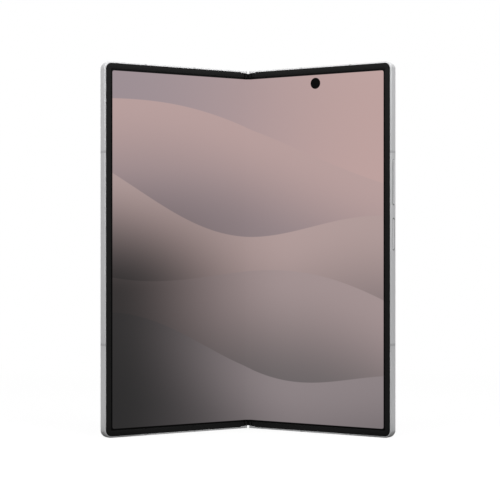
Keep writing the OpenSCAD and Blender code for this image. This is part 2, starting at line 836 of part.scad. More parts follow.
module screen_glass() {
  color([0.03, 0.03, 0.04]) slab(glass_inset, panel_y) outline(screen_edge, flex_half);
}

module left_screen_glass() { on_left() screen_glass(); }

module right_screen_glass() { on_right() screen_glass(); }

module left_display_panel() {
  color("#9a8f96") on_left() slab(panel_y, support_y) outline(screen_edge, flex_half);
}

module right_display_panel() {
  color("#9a8f96") on_right() difference() {
    slab(panel_y, support_y) outline(screen_edge, flex_half);
    disc(punch_u, punch_z, punch_r, 0, half_t);
  }
}

module left_support_plate() {
  color("#3b3d40") on_left() slab(support_y, seat_y) outline(screen_edge, support_start);
}

module right_support_plate() {
  color("#3b3d40") on_right() difference() {
    slab(support_y, seat_y) outline(screen_edge, support_start);
    disc(punch_u, punch_z, punch_r, 0, half_t);
  }
}

// ---- Left half ----

module left_frame() {
  color("#b9babd") on_left() difference() {
    half_frame(left_screw_places);
    // mouth of the SIM tray, with a seat for its head
    column(half_h - wall_w - cut, half_h + cut)
      translate([tray_u, half_t / 2]) pill(tray_head_w + 2 * key_gap, tray_head_t + 2 * key_gap);
    grille(left_board_u1 - top_speaker_h, 5, half_h - wall_w - cut, half_h + cut);
    // room of the SIM reader
    box(reader_u0 - fit_gap, reader_u1 + fit_gap, room_y, back_seat_y, reader_z0 - fit_gap,
      half_h - wall_w);
    // window of the outer camera
    disc(cover_camera_u, cover_camera_z, cover_camera_r + fit_gap, room_y, half_t);
  }
}

module left_antenna_bands() {
  color("#8f9093") on_left() antenna_breaks();
}

module cover_glass() {
  color([0.04, 0.04, 0.05]) on_left() slab(back_seat_y, half_t) outline(back_rim, back_start);
}

module cover_display_panel() {
  color("#2c2c30") on_left() difference() {
    slab(cover_panel_y, back_seat_y) outline(wall_w + fit_gap, beam_u + fit_gap);
    disc(cover_camera_u, cover_camera_z, cover_camera_r + fit_gap, 0, far);
  }
}

module cover_camera() {
  color("#141518") on_left() {
    translate([cover_camera_u, 0, cover_camera_z])
      slab(room_y, room_y + small_camera_t) rounded(small_camera, small_camera, small_camera_r);
    disc(cover_camera_u, cover_camera_z, cover_camera_r, room_y + small_camera_t / 2, back_seat_y);
  }
}

module left_battery() {
  w = room_u1 - left_battery_clear - board_u0;
  color("#3a3c40") on_left()
    translate([board_u0 + w / 2, 0, battery_z + left_battery_h / 2])
      slab(room_y, room_y + left_battery_t) rounded(w, left_battery_h, battery_r);
}

module left_board() {
  color("#1d4f3a") on_left()
    board(left_board_u0, left_board_u1, left_board_z0, left_board_z1, left_screw_places);
}

module left_shield_cans() {
  color("#a9abae") on_left() box(left_board_u0 + can_margin, left_board_u1 - can_margin, board_back_y,
    cover_panel_y - fit_gap, left_board_z0 + can_margin, left_board_z1 - can_margin);
}

module sim_reader() {
  y0 = tray_y - fit_gap;
  y1 = tray_y + tray_t + fit_gap;
  color("#b0b2b5") on_left() difference() {
    box(reader_u0, reader_u1, room_y, y1 + reader_wall, reader_z0, half_h - wall_w - fit_gap);
    box(reader_u0 + reader_wall, reader_u1 - reader_wall, y0, y1, reader_z0 + tray_rail, half_h);
  }
}

module sim_tray() {
  z0 = half_h - tray_len;
  color("#b4b5b8") on_left() difference() {
    union() {
      box(tray_u - tray_w / 2, tray_u + tray_w / 2, tray_y, tray_y + tray_t, z0, half_h - wall_w / 2);
      column(half_h - wall_w + fit_gap, half_h)
        translate([tray_u, half_t / 2]) pill(tray_head_w, tray_head_t);
    }
    // seat of the card, open to the front
    box(tray_u - card_w / 2 - run_gap, tray_u + card_w / 2 + run_gap, tray_y - cut,
      tray_y + card_t + run_gap, z0 + tray_rail - run_gap, z0 + tray_rail + card_len + run_gap);
    // hole for the eject pin
    column(half_h - wall_w, half_h + cut)
      translate([tray_u + tray_head_w / 2 - eject_inset, half_t / 2]) circle(eject_r);
  }
}

module sim_card() {
  z0 = half_h - tray_len + tray_rail;
  y1 = tray_y + card_t + run_gap;
  color("#d8b75a") on_left() slab(y1 - card_t, y1) polygon([
    [tray_u - card_w / 2, z0],
    [tray_u + card_w / 2, z0],
    [tray_u + card_w / 2, z0 + card_len - card_corner],
    [tray_u + card_w / 2 - card_corner, z0 + card_len],
    [tray_u - card_w / 2, z0 + card_len]]);
}

module top_speaker() {
  u1 = left_board_u1 + top_speaker_over;
  color("#26272a") on_left() box(u1 - top_speaker_w, u1, room_y, cover_panel_y - fit_gap,
    half_h - wall_w - top_speaker_h, half_h - wall_w);
}

module vibration_motor() {
  u0 = board_u0 + motor_clear;
  z1 = battery_z - motor_clear;
  color("#9fa1a4") on_left()
    box(u0, u0 + motor_len, room_y, cover_panel_y - fit_gap, z1 - motor_w, z1);
}

module left_screws() { on_left() board_screws(left_screw_places); }

module left_magnets() { on_left() half_magnets(); }

// ---- Right half ----

// Slot through the outer wall for a key
module key_slot(z, len) {
  along_u(room_u1 - cut, half_w + cut) translate([z, key_y]) pill(len + 2 * key_gap, key_w + 2 * key_gap);
}

module right_frame() {
  color("#b9babd") on_right() difference() {
    half_frame(right_screw_places);
    key_slot(volume_z, volume_len);
    key_slot(side_z, side_len + 2 * side_end);
    // bore for the front camera
    disc(punch_u, punch_z, punch_r, 0, half_t);
    // mouth of the charging port, and its room in the mid-plate
    column(-cut, wall_w + cut) translate([port_u, port_depth])
      pill(port_w + 2 * port_wall, port_t + 2 * port_wall);
    box(port_u - port_w / 2 - port_wall, port_u + port_w / 2 + port_wall, seat_y - cut, room_y + cut,
      wall_w / 2, port_len);
    grille(speaker_u0 + speaker_end, 6, -cut, wall_w + cut);
    for (p = [[board_u0 + mic_u, -cut], [board_u1 - mic_u, half_h - wall_w - cut]])
      column(p[1], p[1] + wall_w + 2 * cut) translate([p[0], half_t / 2]) circle(mic_r);
  }
}

module right_antenna_bands() {
  color("#8f9093") on_right() antenna_breaks();
}

module rear_glass() {
  color("#5b5d61") on_right() difference() {
    slab(back_seat_y, half_t) outline(back_rim, back_start);
    for (z = camera_z) disc(deck_u, z, deck_bore_r, 0, far);
    disc(flash_u, camera_z[0], flash_r, 0, far);
  }
}

module camera_deck() {
  len = camera_z[0] - camera_z[2] + deck_w;
  color("#4d4f53") on_right() difference() {
    translate([deck_u, 0, camera_z[1]]) slab(half_t, deck_y) rotate(90) pill(len, deck_w);
    for (z = camera_z) disc(deck_u, z, deck_bore_r, 0, far);
  }
}

module camera_rings() {
  color("#a7a9ac") on_right() for (z = camera_z) difference() {
    disc(deck_u, z, lens_r + ring_w, deck_y, deck_y + ring_h);
    disc(deck_u, z, lens_r, 0, far);
  }
}

module camera_lenses() {
  color([0.02, 0.02, 0.03]) on_right()
    for (z = camera_z) disc(deck_u, z, lens_r, deck_y, deck_y + lens_t);
}

module camera_modules() {
  color("#1a1b1e") on_right() for (z = camera_z) {
    translate([deck_u, 0, z]) slab(room_y, room_y + camera_body_t)
      rounded(camera_body, camera_body, camera_body_r);
    disc(deck_u, z, barrel_r, room_y + camera_body_t / 2, deck_y - fit_gap);
  }
}

module flash_window() {
  color("#e8e2c8") on_right() disc(flash_u, camera_z[0], flash_r, back_seat_y - flash_back, half_t);
}

module front_camera() {
  color("#0b0c0e") on_right() {
    translate([punch_u, 0, punch_z]) slab(room_y, back_seat_y - 2 * fit_gap)
      rounded(small_camera, small_camera, small_camera_r);
    disc(punch_u, punch_z, punch_r - 3 * fit_gap, panel_y + run_gap, room_y + small_camera_t / 2);
  }
}

module main_board() {
  color("#1d4f3a") on_right() board(board_u0, board_u1, board_z0, board_z1, main_screws);
}

module right_shield_cans() {
  mid = (board_u0 + board_u1) / 2;
  color("#a9abae") on_right() {
    box(board_u0 + can_margin, mid - can_split / 2, board_back_y, board_back_y + can_t,
      board_z0 + can_margin, board_z1 - can_margin);
    box(mid + can_split / 2, board_u1 - can_margin, board_back_y, board_back_y + can_t,
      board_z0 + can_margin, board_z1 - 2 * can_margin - can_notch);
  }
}

module right_battery() {
  w = battery_u1 - board_u0;
  color("#3a3c40") on_right()
    translate([board_u0 + w / 2, 0, battery_z + battery_h / 2])
      slab(room_y, room_y + battery_t) rounded(w, battery_h, battery_r);
}

module charging_coil() {
  step = (coil_r - coil_hole_r) / coil_turns;
  color("#b5713a") on_right() translate([(board_u0 + battery_u1) / 2, 0, battery_z + battery_h / 2])
    slab(back_seat_y - coil_t, back_seat_y) for (i = [1 : coil_turns]) {
      difference() {
        circle(coil_hole_r + i * step);
        circle(coil_hole_r + (i - 0.75) * step);
      }
      // bridge that joins this turn to the one inside it
      if (i > 1) translate([coil_hole_r + (i - 1.3) * step, 0]) square([0.8 * step, step]);
    }
}

module usb_socket() {
  color("#c2c4c7") on_right() difference() {
    column(2 * fit_gap, port_len) translate([port_u, port_depth])
      pill(port_w + 2 * port_wall, port_t + 2 * port_wall);
    difference() {
      column(0, port_len - usb_back) translate([port_u, port_depth]) pill(port_w, port_t);
      box(port_u - tongue_w / 2, port_u + tongue_w / 2, port_depth - usb_tongue_t / 2,
        port_depth + usb_tongue_t / 2, usb_back, port_len);
    }
  }
}

module lower_board() {
  color("#1d4f3a") on_right() board(board_u0, lower_u1, port_len, lower_z1, lower_screws);
}

module bottom_speaker() {
  color("#26272a") on_right()
    box(speaker_u0, room_u1 - speaker_end, room_y, back_seat_y - 2 * fit_gap,
      wall_w, lower_z1 - speaker_end);
}

module microphones() {
  color("#c9b15c") on_right() {
    box(board_u0 + mic_u - mic_w / 2, board_u0 + mic_u + mic_w / 2, room_y, board_back_y,
      wall_w, wall_w + mic_h);
    box(board_u1 - mic_u - mic_w / 2, board_u1 - mic_u + mic_w / 2, room_y, board_back_y,
      half_h - wall_w - mic_h, half_h - wall_w);
  }
}

module key_switches() {
  z0 = side_z - side_len / 2 - strip_end;
  z1 = volume_z + volume_len / 2 + strip_end;
  color("#c98f2b") on_right() {
    box(strip_u, strip_u + strip_t, room_y, back_seat_y - 2 * fit_gap, z0, z1);
    for (z = [side_z, volume_z - volume_len / 3, volume_z + volume_len / 3])
      translate([strip_u + strip_t, key_y, z]) rotate([0, 90, 0]) cylinder(r = dome_r, h = dome_h);
  }
}

module volume_key() {
  color("#b4b5b8") on_right() {
    along_u(volume_flange_u, half_w + volume_proud) translate([volume_z, key_y]) pill(volume_len, key_w);
    box(volume_flange_u, volume_flange_u + flange_t, key_y - key_w / 2, key_y + key_w / 2,
      volume_z - volume_len / 2 - flange_h, volume_z + volume_len / 2 + flange_h);
  }
}

module side_key() {
  color("#a4a5a8") on_right() {
    along_u(side_flange_u, half_w - side_sunk) translate([side_z, key_y]) pill(side_len, key_w);
    box(side_flange_u, side_flange_u + flange_t, key_y - key_w / 2, key_y + key_w / 2,
      side_z - side_len / 2 - flange_h, side_z + side_len / 2 + flange_h);
  }
}

module right_screws() { on_right() board_screws(right_screw_places); }

module right_magnets() { on_right() half_magnets(); }

spine_cover();
hinge_blocks();
hinge_springs();
hinge_screws();
fold_caps();
display_fold_zone();
hinge_flex_cables();
left_swing_arms();
right_swing_arms();
left_frame();
left_hinge_brackets();
left_bezel();
left_screen_glass();
left_display_panel();
left_support_plate();
left_antenna_bands();
cover_glass();
cover_display_panel();
cover_camera();
left_battery();
left_board();
left_shield_cans();
sim_reader();
sim_tray();
sim_card();
top_speaker();
vibration_motor();
left_screws();
left_magnets();
right_frame();
right_hinge_brackets();
right_bezel();
right_screen_glass();
right_display_panel();
right_support_plate();
right_antenna_bands();
rear_glass();
camera_deck();
camera_rings();
camera_lenses();
camera_modules();
flash_window();
front_camera();
main_board();
right_shield_cans();
right_battery();
charging_coil();
usb_socket();
lower_board();
bottom_speaker();
microphones();
key_switches();
volume_key();
side_key();
right_screws();
right_magnets();
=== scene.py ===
# %% [markdown]
# # A book-style folding phone, half open
#
# Two thin aluminium halves stand on their bottom edges and share one bright
# display that bends between them. A geared spine behind the bend ties the
# halves together. The rigid parts are already modelled as solids; this script
# loads them, dresses them with finishes, and adds the surfaces that make the
# phone look real: the bending display, the soft-edged bezels and the lenses.

# %% The frame and its units
import json
import math

import bmesh
import bpy
import numpy as np
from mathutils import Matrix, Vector

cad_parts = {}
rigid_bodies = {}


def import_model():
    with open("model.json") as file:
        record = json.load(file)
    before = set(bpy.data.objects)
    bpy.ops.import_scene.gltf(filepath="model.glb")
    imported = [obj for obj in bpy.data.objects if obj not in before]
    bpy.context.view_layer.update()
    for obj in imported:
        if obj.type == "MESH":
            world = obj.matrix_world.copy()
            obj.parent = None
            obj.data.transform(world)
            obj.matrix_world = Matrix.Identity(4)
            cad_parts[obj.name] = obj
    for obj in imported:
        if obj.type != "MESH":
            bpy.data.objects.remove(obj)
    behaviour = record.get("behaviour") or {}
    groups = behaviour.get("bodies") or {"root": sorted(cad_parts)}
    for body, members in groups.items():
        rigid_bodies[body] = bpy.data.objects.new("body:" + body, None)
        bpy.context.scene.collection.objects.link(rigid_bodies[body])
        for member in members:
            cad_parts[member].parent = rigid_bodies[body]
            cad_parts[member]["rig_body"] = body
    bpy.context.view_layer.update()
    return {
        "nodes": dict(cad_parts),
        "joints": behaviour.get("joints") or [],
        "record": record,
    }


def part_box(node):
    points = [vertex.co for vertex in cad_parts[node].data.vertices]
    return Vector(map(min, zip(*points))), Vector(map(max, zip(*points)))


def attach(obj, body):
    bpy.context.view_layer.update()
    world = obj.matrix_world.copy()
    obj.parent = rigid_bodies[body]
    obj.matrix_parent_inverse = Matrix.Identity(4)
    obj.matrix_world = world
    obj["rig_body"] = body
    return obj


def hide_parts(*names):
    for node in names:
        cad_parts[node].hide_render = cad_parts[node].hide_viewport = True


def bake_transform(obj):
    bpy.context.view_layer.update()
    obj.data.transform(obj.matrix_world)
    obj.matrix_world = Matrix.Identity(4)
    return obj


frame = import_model()
MM = 0.001

# %% [markdown]
# ## Flat drawing, folded place
#
# Both halves are the same flat shape turned about two fold axes. Every new
# surface is therefore worked out on a flat half, as u outwards from the hinge,
# depth behind the front face and z upwards, and one function folds it into
# place. The axes and the fold angle come from the joints. The half's width and
# thickness are measured by unfolding the frame's own corners.

# %% Fold axes, and the way from flat to folded
LEFT, RIGHT = -1, 1
BODY = {LEFT: "left_half", RIGHT: "right_half"}
SIDE_NAME = {LEFT: "left", RIGHT: "right"}
joints = {j["name"]: j for j in frame["joints"]}
FOLD = math.radians(joints["right_fold"]["range_deg"][1])
AXIS = np.array(joints["right_fold"]["pos_m"]) / MM


def turned(across, back, angle):
    """Turns (across, back) clockwise, seen from above, by the angle: the half's own rotation."""
    return (across * np.cos(angle) + back * np.sin(angle),
            back * np.cos(angle) - across * np.sin(angle))


def unfolded(name, side):
    """A node's corners as flat u, depth behind the fold axis, and z, in mm: the fold undone."""
    mesh = frame["nodes"][name].data
    co = np.zeros(len(mesh.vertices) * 3, np.float32)
    mesh.vertices.foreach_get("co", co)
    x, y, z = co.reshape(-1, 3).astype(float).T / MM
    across, back = turned(side * x - AXIS[0], y - AXIS[1], -FOLD)
    return np.stack([across + AXIS[0], back, z], axis=-1)


right_corners = unfolded("right_frame", RIGHT)
FRONT = right_corners[:, 1].min()
HALF_W = right_corners[:, 0].max()
HALF_H = right_corners[:, 2].max()
HALF_T = right_corners[:, 1].max() - FRONT
AXIS_DEPTH = -FRONT
print(f"one half is {HALF_W:.2f} x {HALF_H:.2f} x {HALF_T:.2f} mm,",
      f"folded {math.degrees(FOLD):.1f} degrees")


def from_front(name, side):
    """A node's corners on its flat half as (u, depth, z), with depth from the front face."""
    return unfolded(name, side) - [0, FRONT, 0]


def flat_box(name, side):
    """Lowest and highest (u, depth, z) of a node on its flat half."""
    flat = from_front(name, side)
    return flat.min(axis=0), flat.max(axis=0)


def folded(flat, side, angle=FOLD):
    """Places flat points (u, depth, z) in mm: a turn about the half's axis, then metres."""
    u, depth, z = np.moveaxis(np.asarray(flat, float), -1, 0)
    across, back = turned(u - AXIS[0], depth - AXIS_DEPTH, angle)
    return np.stack([side * (across + AXIS[0]), back + AXIS[1], z], axis=-1) * MM


# %% [markdown]
# ## From a grid of points to a mesh
#
# A surface here is a grid: rows run one way over the shape and columns the
# other. The faces only need counting, so one helper makes them for every
# piece. A second one writes the mesh, joins the points that meet at a pole,
# and turns the faces outwards if the volume they enclose comes out negative.

# %% Grids, meshes and finished pieces
WELD = 1e-4 * MM


def grid_faces(rows, cols, wrap_rows=False, wrap_cols=False):
    """Quads between neighbours of a rows x cols grid: (i, j), (i, j+1), (i+1, j+1), (i+1, j)."""
    i = np.arange(rows if wrap_rows else rows - 1)[:, None]
    j = np.arange(cols if wrap_cols else cols - 1)[None, :]
    i2, j2 = (i + 1) % rows, (j + 1) % cols
    corners = (i * cols + j, i * cols + j2, i2 * cols + j2, i2 * cols + j)
    return np.stack(np.broadcast_arrays(*corners), axis=-1).reshape(-1, 4).tolist()


def surface(name, points, faces, slot_name, uv=None, smooth_angle=40):
    """A welded mesh object from points (n, 3) in metres and faces that close it."""
    points = np.asarray(points, float).reshape(-1, 3)
    mesh = bpy.data.meshes.new(name)
    mesh.from_pydata(points.tolist(), [], faces)
    if uv is not None:
        corner = np.zeros(len(mesh.loops), np.int32)
        mesh.loops.foreach_get("vertex_index", corner)
        layer = mesh.uv_layers.new(name="UVMap")
        layer.uv.foreach_set("vector", np.asarray(uv, np.float32).reshape(-1, 2)[corner].ravel())
    work = bmesh.new()
    work.from_mesh(mesh)
    bmesh.ops.remove_doubles(work, verts=work.verts, dist=WELD)
    if work.calc_volume(signed=True) < 0:
        bmesh.ops.reverse_faces(work, faces=work.faces)
    work.to_mesh(mesh)
    work.free()
    mesh.shade_smooth()
    mesh.set_sharp_from_angle(angle=math.radians(smooth_angle))
    made = bpy.data.objects.new(name, mesh)
    bpy.context.scene.collection.objects.link(made)
    made.data.materials.append(finish_of(slot_name))
    return made


# %% [markdown]
# ## Shader maths that reads like maths
#
# A finish is a small graph of nodes. Wiring them by hand hides the idea, so a
# value in the graph is wrapped in a class whose plus, minus and times add the
# Math nodes. A finish such as brushed metal is then written as the sum it is.

# %% Wire and Finish
class Wire:
    """One output of a finish's graph; arithmetic on it adds Math nodes."""

    def __init__(self, finish, socket):
        self.finish = finish
        self.socket = socket

    def _math(self, operation, *values):
        return self.finish.node("ShaderNodeMath", {"operation": operation}, dict(enumerate(values)))

    def __add__(self, other):
        return self._math("ADD", self, other)

    def __sub__(self, other):
        return self._math("SUBTRACT", self, other)

    def __rsub__(self, other):
        return self._math("SUBTRACT", other, self)

    def __mul__(self, other):
        return self._math("MULTIPLY", self, other)

    def __pow__(self, other):
        return self._math("POWER", self, other)

    __radd__ = __add__
    __rmul__ = __mul__

    def sin(self):
        return self._math("SINE", self)

    def abs(self):
        return self._math("ABSOLUTE", self)

    def sqrt(self):
        return self._math("SQRT", self)

    def above(self, limit):
        """The larger of this value and the limit."""
        return self._math("MAXIMUM", self, limit)

    def ramp(self, low, high):
        """Rises smoothly from 0 at low to 1 at high."""
        settings = {"interpolation_type": "SMOOTHSTEP"}
        values = {"Value": self, "From Min": low, "From Max": high}
        return self.finish.node("ShaderNodeMapRange", settings, values)


class Finish:
    """A material with one Principled shader, filled in by short expressions."""

    def __init__(self, name, colour, roughness, metallic=0.0, **fixed):
        self.material = bpy.data.materials.new(name)
        self.material.use_nodes = True
        self.tree = self.material.node_tree
        self.shader = self.tree.nodes["Principled BSDF"]
        self.set(Base_Color=(*colour, 1.0), Roughness=roughness, Metallic=metallic, **fixed)

    def set(self, **values):
        """Sets or links the shader's sockets, with an underscore for each space."""
        for name, value in values.items():
            self._join(value, self.shader.inputs[name.replace("_", " ")])

    def _join(self, value, socket):
        if isinstance(value, Wire):
            self.tree.links.new(value.socket, socket)
        else:
            socket.default_value = value

    def node(self, kind, settings=None, inputs=None, output=0):
        """Adds a node, its settings first and then its inputs, and returns one output."""
        made = self.tree.nodes.new(kind)
        for name, value in (settings or {}).items():
            setattr(made, name, value)
        for key, value in (inputs or {}).items():
            self._join(value, made.inputs[key])
        return Wire(self, made.outputs[output])

    def place(self):
        """The point on the piece, in metres."""
        return self.node("ShaderNodeTexCoord", output="Object")

    def flat_map(self):
        """The point on the piece's own flat map."""
        return self.node("ShaderNodeUVMap", {"uv_map": "UVMap"})

    def axes(self, vector):
        """The three parts of a vector."""
        split = self.node("ShaderNodeSeparateXYZ", inputs={0: vector}).socket.node
        return [Wire(self, socket) for socket in split.outputs]

    def scaled(self, stretch):
        """The point on the piece, stretched along each axis by its own factor."""
        return self.node("ShaderNodeMapping", inputs={"Vector": self.place(), "Scale": stretch})

    def noise(self, stretch, detail=2.0):
        """Cloudy noise from 0 to 1 whose grain is 1/stretch metres along each axis."""
        return self.node("ShaderNodeTexNoise",
                         inputs={"Vector": self.scaled(stretch), "Scale": 1.0, "Detail": detail})

    def blend(self, factor, first, second):
        """A colour between two colours."""
        mixed = self.node("ShaderNodeMix", {"data_type": "RGBA"}, {0: factor}, output=2)
        for value, index in ((first, 6), (second, 7)):
            value = value if isinstance(value, Wire) else (*value, 1.0)
            self._join(value, mixed.socket.node.inputs[index])
        return mixed

    def bump(self, height, distance):
        """Tilts the surface by a height pattern whose full rise is the distance, in metres."""
        self.set(Normal=self.node("ShaderNodeBump", inputs={
            "Height": height, "Distance": distance, "Strength": 1.0}))


FINISHES = {}
RECIPES = {}


def recipe(*slots):
    """Marks a function as the recipe of one or more material slots."""
    def note(function):
        RECIPES.update(dict.fromkeys(slots, function))
        return function
    return note


def finish_of(slot_name):
    """The slot's material, made the first time it is asked for."""
    if slot_name not in FINISHES:
        FINISHES[slot_name] = RECIPES[slot_name](slot_name).material
    return FINISHES[slot_name]


def tone(*levels):
    """Screen levels from 0 to 255 as linear light: ((v + 0.055) / 1.055) to the power 2.4."""
    return tuple(((level / 255 + 0.055) / 1.055) ** 2.4 for level in levels)


# %% [markdown]
# ## The aluminium
#
# The frame is bead-blasted and anodised: a fine, even grain breaks the shine
# into a soft grey. The grain is real relief, so it goes into the bump and, a
# little, into the roughness, while the colour stays almost constant. The keys
# and the spine are brushed along their length. The spine's shine is bare
# metal, while the keys keep the frame's dull coat. The keys' colour is painted
# a shade lighter than the frame's: a painted highlight for the light that the
# proud keys catch.

# %% Frame, spine and key metal
BLAST_GRAIN = 9000.0
BRUSH_ALONG = 120.0
TINT_CLOUD = 40.0


@recipe("frame_aluminium")
def blasted_aluminium(name):
    metal = Finish(name, (0.53, 0.53, 0.54), 0.42, metallic=0.25)
    grain = metal.noise([BLAST_GRAIN] * 3)
    cloud = metal.noise([TINT_CLOUD] * 3)
    metal.set(Base_Color=metal.blend(cloud, (0.505, 0.505, 0.515), (0.555, 0.555, 0.56)),
              Roughness=0.36 + 0.1 * grain)
    metal.bump(grain, 0.001 * MM)
    return metal


@recipe("spine_aluminium", "key_aluminium")
def satin_aluminium(name):
    # The keys' colour is painted a shade lighter: a painted highlight, not a lighter metal.
    gain, metallic = (1.15, 0.25) if name == "key_aluminium" else (1.0, 0.85)
    metal = Finish(name, (0.52, 0.52, 0.53), 0.35, metallic=metallic)
    brushing = metal.noise([BLAST_GRAIN, BLAST_GRAIN, BRUSH_ALONG])
    dark, light = [tuple(gain * part for part in colour)
                   for colour in ((0.49, 0.49, 0.5), (0.55, 0.55, 0.56))]
    metal.set(Base_Color=metal.blend(brushing, dark, light), Roughness=0.28 + 0.14 * brushing)
    metal.bump(brushing, 0.001 * MM)
    return metal


# %% [markdown]
# ## Plastics and rubber
#
# Bezel, antenna breaks, end caps, speaker boxes and key seals are moulded.
# Their skin copies the mould's spark-eroded texture, which is a fine noise in
# the bump. The bezel is nearly black, yet not flat: its roughness wanders
# slightly. The cameras' black is the deepest, because a lens barrel is made
# to send no light back.

# %% Moulded parts
# shade of the base, roughness, strength of the reflection
BLACKS = {"bezel_plastic": (0.004, 0.5, 0.08), "speaker_plastic": (0.014, 0.6, 0.08),
          "camera_black": (0.001, 0.4, 0.02), "cap_rubber": (0.004, 0.6, 0.08)}


@recipe(*BLACKS)
def moulded_black(name):
    shade, softness, gloss = BLACKS[name]
    plastic = Finish(name, (shade,) * 3, softness, Specular_IOR_Level=gloss)
    grain = plastic.noise([6000.0] * 3)
    plastic.set(Base_Color=plastic.blend(grain, (shade,) * 3, (1.35 * shade,) * 3),
                Roughness=softness - 0.06 + 0.12 * grain)
    plastic.bump(grain, 0.002 * MM)
    return plastic


@recipe("antenna_plastic")
def antenna_plastic(name):
    plastic = Finish(name, (0.42, 0.42, 0.43), 0.5)
    grain = plastic.noise([5000.0] * 3)
    plastic.set(Base_Color=plastic.blend(grain, (0.39, 0.39, 0.4), (0.45, 0.45, 0.46)),
                Roughness=0.45 + 0.12 * grain)
    plastic.bump(grain, 0.004 * MM)
    return plastic


# %% [markdown]
# ## Hinge metals
#
# The hinge is cut from steel bars, so tool marks run along it. A noise that is
# stretched far along z gives the lines; a second, round one varies the sheen
# from block to block. Shield cans are pressed from sheet and get rows of
# dimples instead. The disc springs are heat-treated, which leaves a straw tint
# that deepens towards bronze.

# %% Steel of the hinge, springs, screws, shields and magnets
STEELS = {"hinge_steel": 0.42, "shield_steel": 0.6, "magnet_nickel": 0.55}


@recipe(*STEELS)
def machined_steel(name):
    light = STEELS[name]
    steel = Finish(name, (light,) * 3, 0.3, metallic=1.0)
    marks = steel.noise([8000.0, 8000.0, 250.0])
    sheen = steel.noise([300.0] * 3)
    steel.set(Base_Color=steel.blend(sheen, (0.9 * light,) * 3, (1.08 * light,) * 3),
              Roughness=0.22 + 0.16 * marks + 0.06 * sheen)
    if name == "shield_steel":
        x, _, z = steel.axes(steel.scaled([4200.0] * 3))
        dimples = (x.sin() * z.sin()).ramp(0.55, 0.9)
        steel.bump(dimples, -0.05 * MM)
    else:
        steel.bump(marks, 0.004 * MM)
    return steel


@recipe("spring_steel")
def tempered_steel(name):
    steel = Finish(name, (0.55, 0.5, 0.4), 0.3, metallic=1.0)
    heat = steel.noise([900.0] * 3)
    steel.set(Base_Color=steel.blend(heat, (0.6, 0.52, 0.36), (0.42, 0.3, 0.2)),
              Roughness=0.25 + 0.12 * heat)
    return steel


# %% [markdown]
# ## Electronics under the backs
#
# Boards, batteries, the coil and the flat cables only show when the phone is
# taken apart, but each has a look of its own: solder mask over copper tracks,
# crinkled foil, wound copper, amber film with printed conductors.

# %% Board, battery, coil and cables
@recipe("circuit_board")
def circuit_board(name):
    board = Finish(name, (0.01, 0.09, 0.05), 0.35, Coat_Weight=0.3, Coat_Roughness=0.2)
    cells = board.node("ShaderNodeTexVoronoi", {"feature": "DISTANCE_TO_EDGE"},
                       {"Vector": board.scaled([700.0] * 3), "Scale": 1.0})
    tracks = 1.0 - cells.ramp(0.04, 0.07)
    board.set(Base_Color=board.blend(tracks, (0.008, 0.07, 0.04), (0.03, 0.2, 0.1)),
              Roughness=0.38 - 0.1 * tracks)
    board.bump(tracks, 0.03 * MM)
    return board


@recipe("battery_pouch")
def battery_pouch(name):
    foil = Finish(name, (0.06, 0.06, 0.065), 0.45, metallic=0.3)
    crinkle = foil.noise([180.0, 180.0, 90.0], detail=5.0)
    foil.set(Base_Color=foil.blend(crinkle, (0.045, 0.045, 0.05), (0.085, 0.085, 0.09)),
             Roughness=0.35 + 0.2 * crinkle)
    foil.bump(crinkle, 0.05 * MM)
    return foil


@recipe("copper")
def wound_copper(name):
    copper = Finish(name, (0.72, 0.34, 0.18), 0.3, metallic=1.0)
    strands = copper.noise([2500.0] * 3)
    copper.set(Base_Color=copper.blend(strands, (0.62, 0.27, 0.13), (0.8, 0.42, 0.25)),
               Roughness=0.22 + 0.2 * strands)
    copper.bump(strands, 0.01 * MM)
    return copper


@recipe("flex_polyimide")
def polyimide_film(name):
    film = Finish(name, (0.45, 0.16, 0.03), 0.3, Coat_Weight=0.5, Coat_Roughness=0.15)
    _, _, z = film.axes(film.place())
    conductors = (z * (2 * math.pi / (0.5 * MM))).sin().ramp(-0.2, 0.2)
    film.set(Base_Color=film.blend(conductors, (0.5, 0.2, 0.05), (0.3, 0.09, 0.02)),
             Roughness=0.3 + 0.1 * conductors)
    film.bump(conductors, 0.01 * MM)
    return film


@recipe("support_plate")
def support_plate(name):
    carbon = Finish(name, (0.05, 0.05, 0.055), 0.4, metallic=0.4)
    x, _, z = carbon.axes(carbon.scaled([3000.0, 1.0, 3000.0]))
    weave = (x.sin() * z.sin()).ramp(-0.3, 0.3)
    carbon.set(Base_Color=carbon.blend(weave, (0.035,) * 3, (0.07,) * 3),
               Roughness=0.35 + 0.15 * weave)
    carbon.bump(weave, 0.01 * MM)
    return carbon


# %% [markdown]
# ## Glass
#
# Four kinds of glass meet on this phone. The back is etched to a satin and
# tinted; the outer display's cover is clear over black; the lens windows are
# black glass with a faint coating; and the flash window is a small moulded
# lens over a yellow emitter. All of it is opaque to the eye, so a dark base
# with a glossy coat gives the look without any see-through layers. What lies
# behind the outer cover is drawn on its flat coordinates: the screen's
# rectangle with round corners, and the camera's ring and lens.

# %% Backs and dark covers
GLASS_BLACK = (0.003, 0.003, 0.003)
SMEARS = [35.0, 35.0, 22.0]


@recipe("back_glass")
def satin_glass(name):
    glass = Finish(name, (0.24, 0.24, 0.25), 0.32, metallic=0.35, Coat_Weight=0.4,
                   Coat_Roughness=0.22)
    etching = glass.noise([7000.0] * 3)
    cloud = glass.noise([25.0] * 3)
    glass.set(Base_Color=glass.blend(cloud, (0.225, 0.225, 0.235), (0.255, 0.255, 0.265)),
              Roughness=0.28 + 0.08 * etching)
    glass.bump(etching, 0.002 * MM)
    return glass


@recipe("screen_glass", "fold_film")
def dark_glass(name):
    glass = Finish(name, (0.006, 0.006, 0.007), 0.06, Coat_Weight=0.5, Coat_Roughness=0.03)
    smear = glass.noise(SMEARS, detail=4.0)
    glass.set(Base_Color=glass.blend(smear, (0.005, 0.005, 0.006), (0.009, 0.009, 0.01)),
              Roughness=0.04 + 0.05 * smear)
    return glass


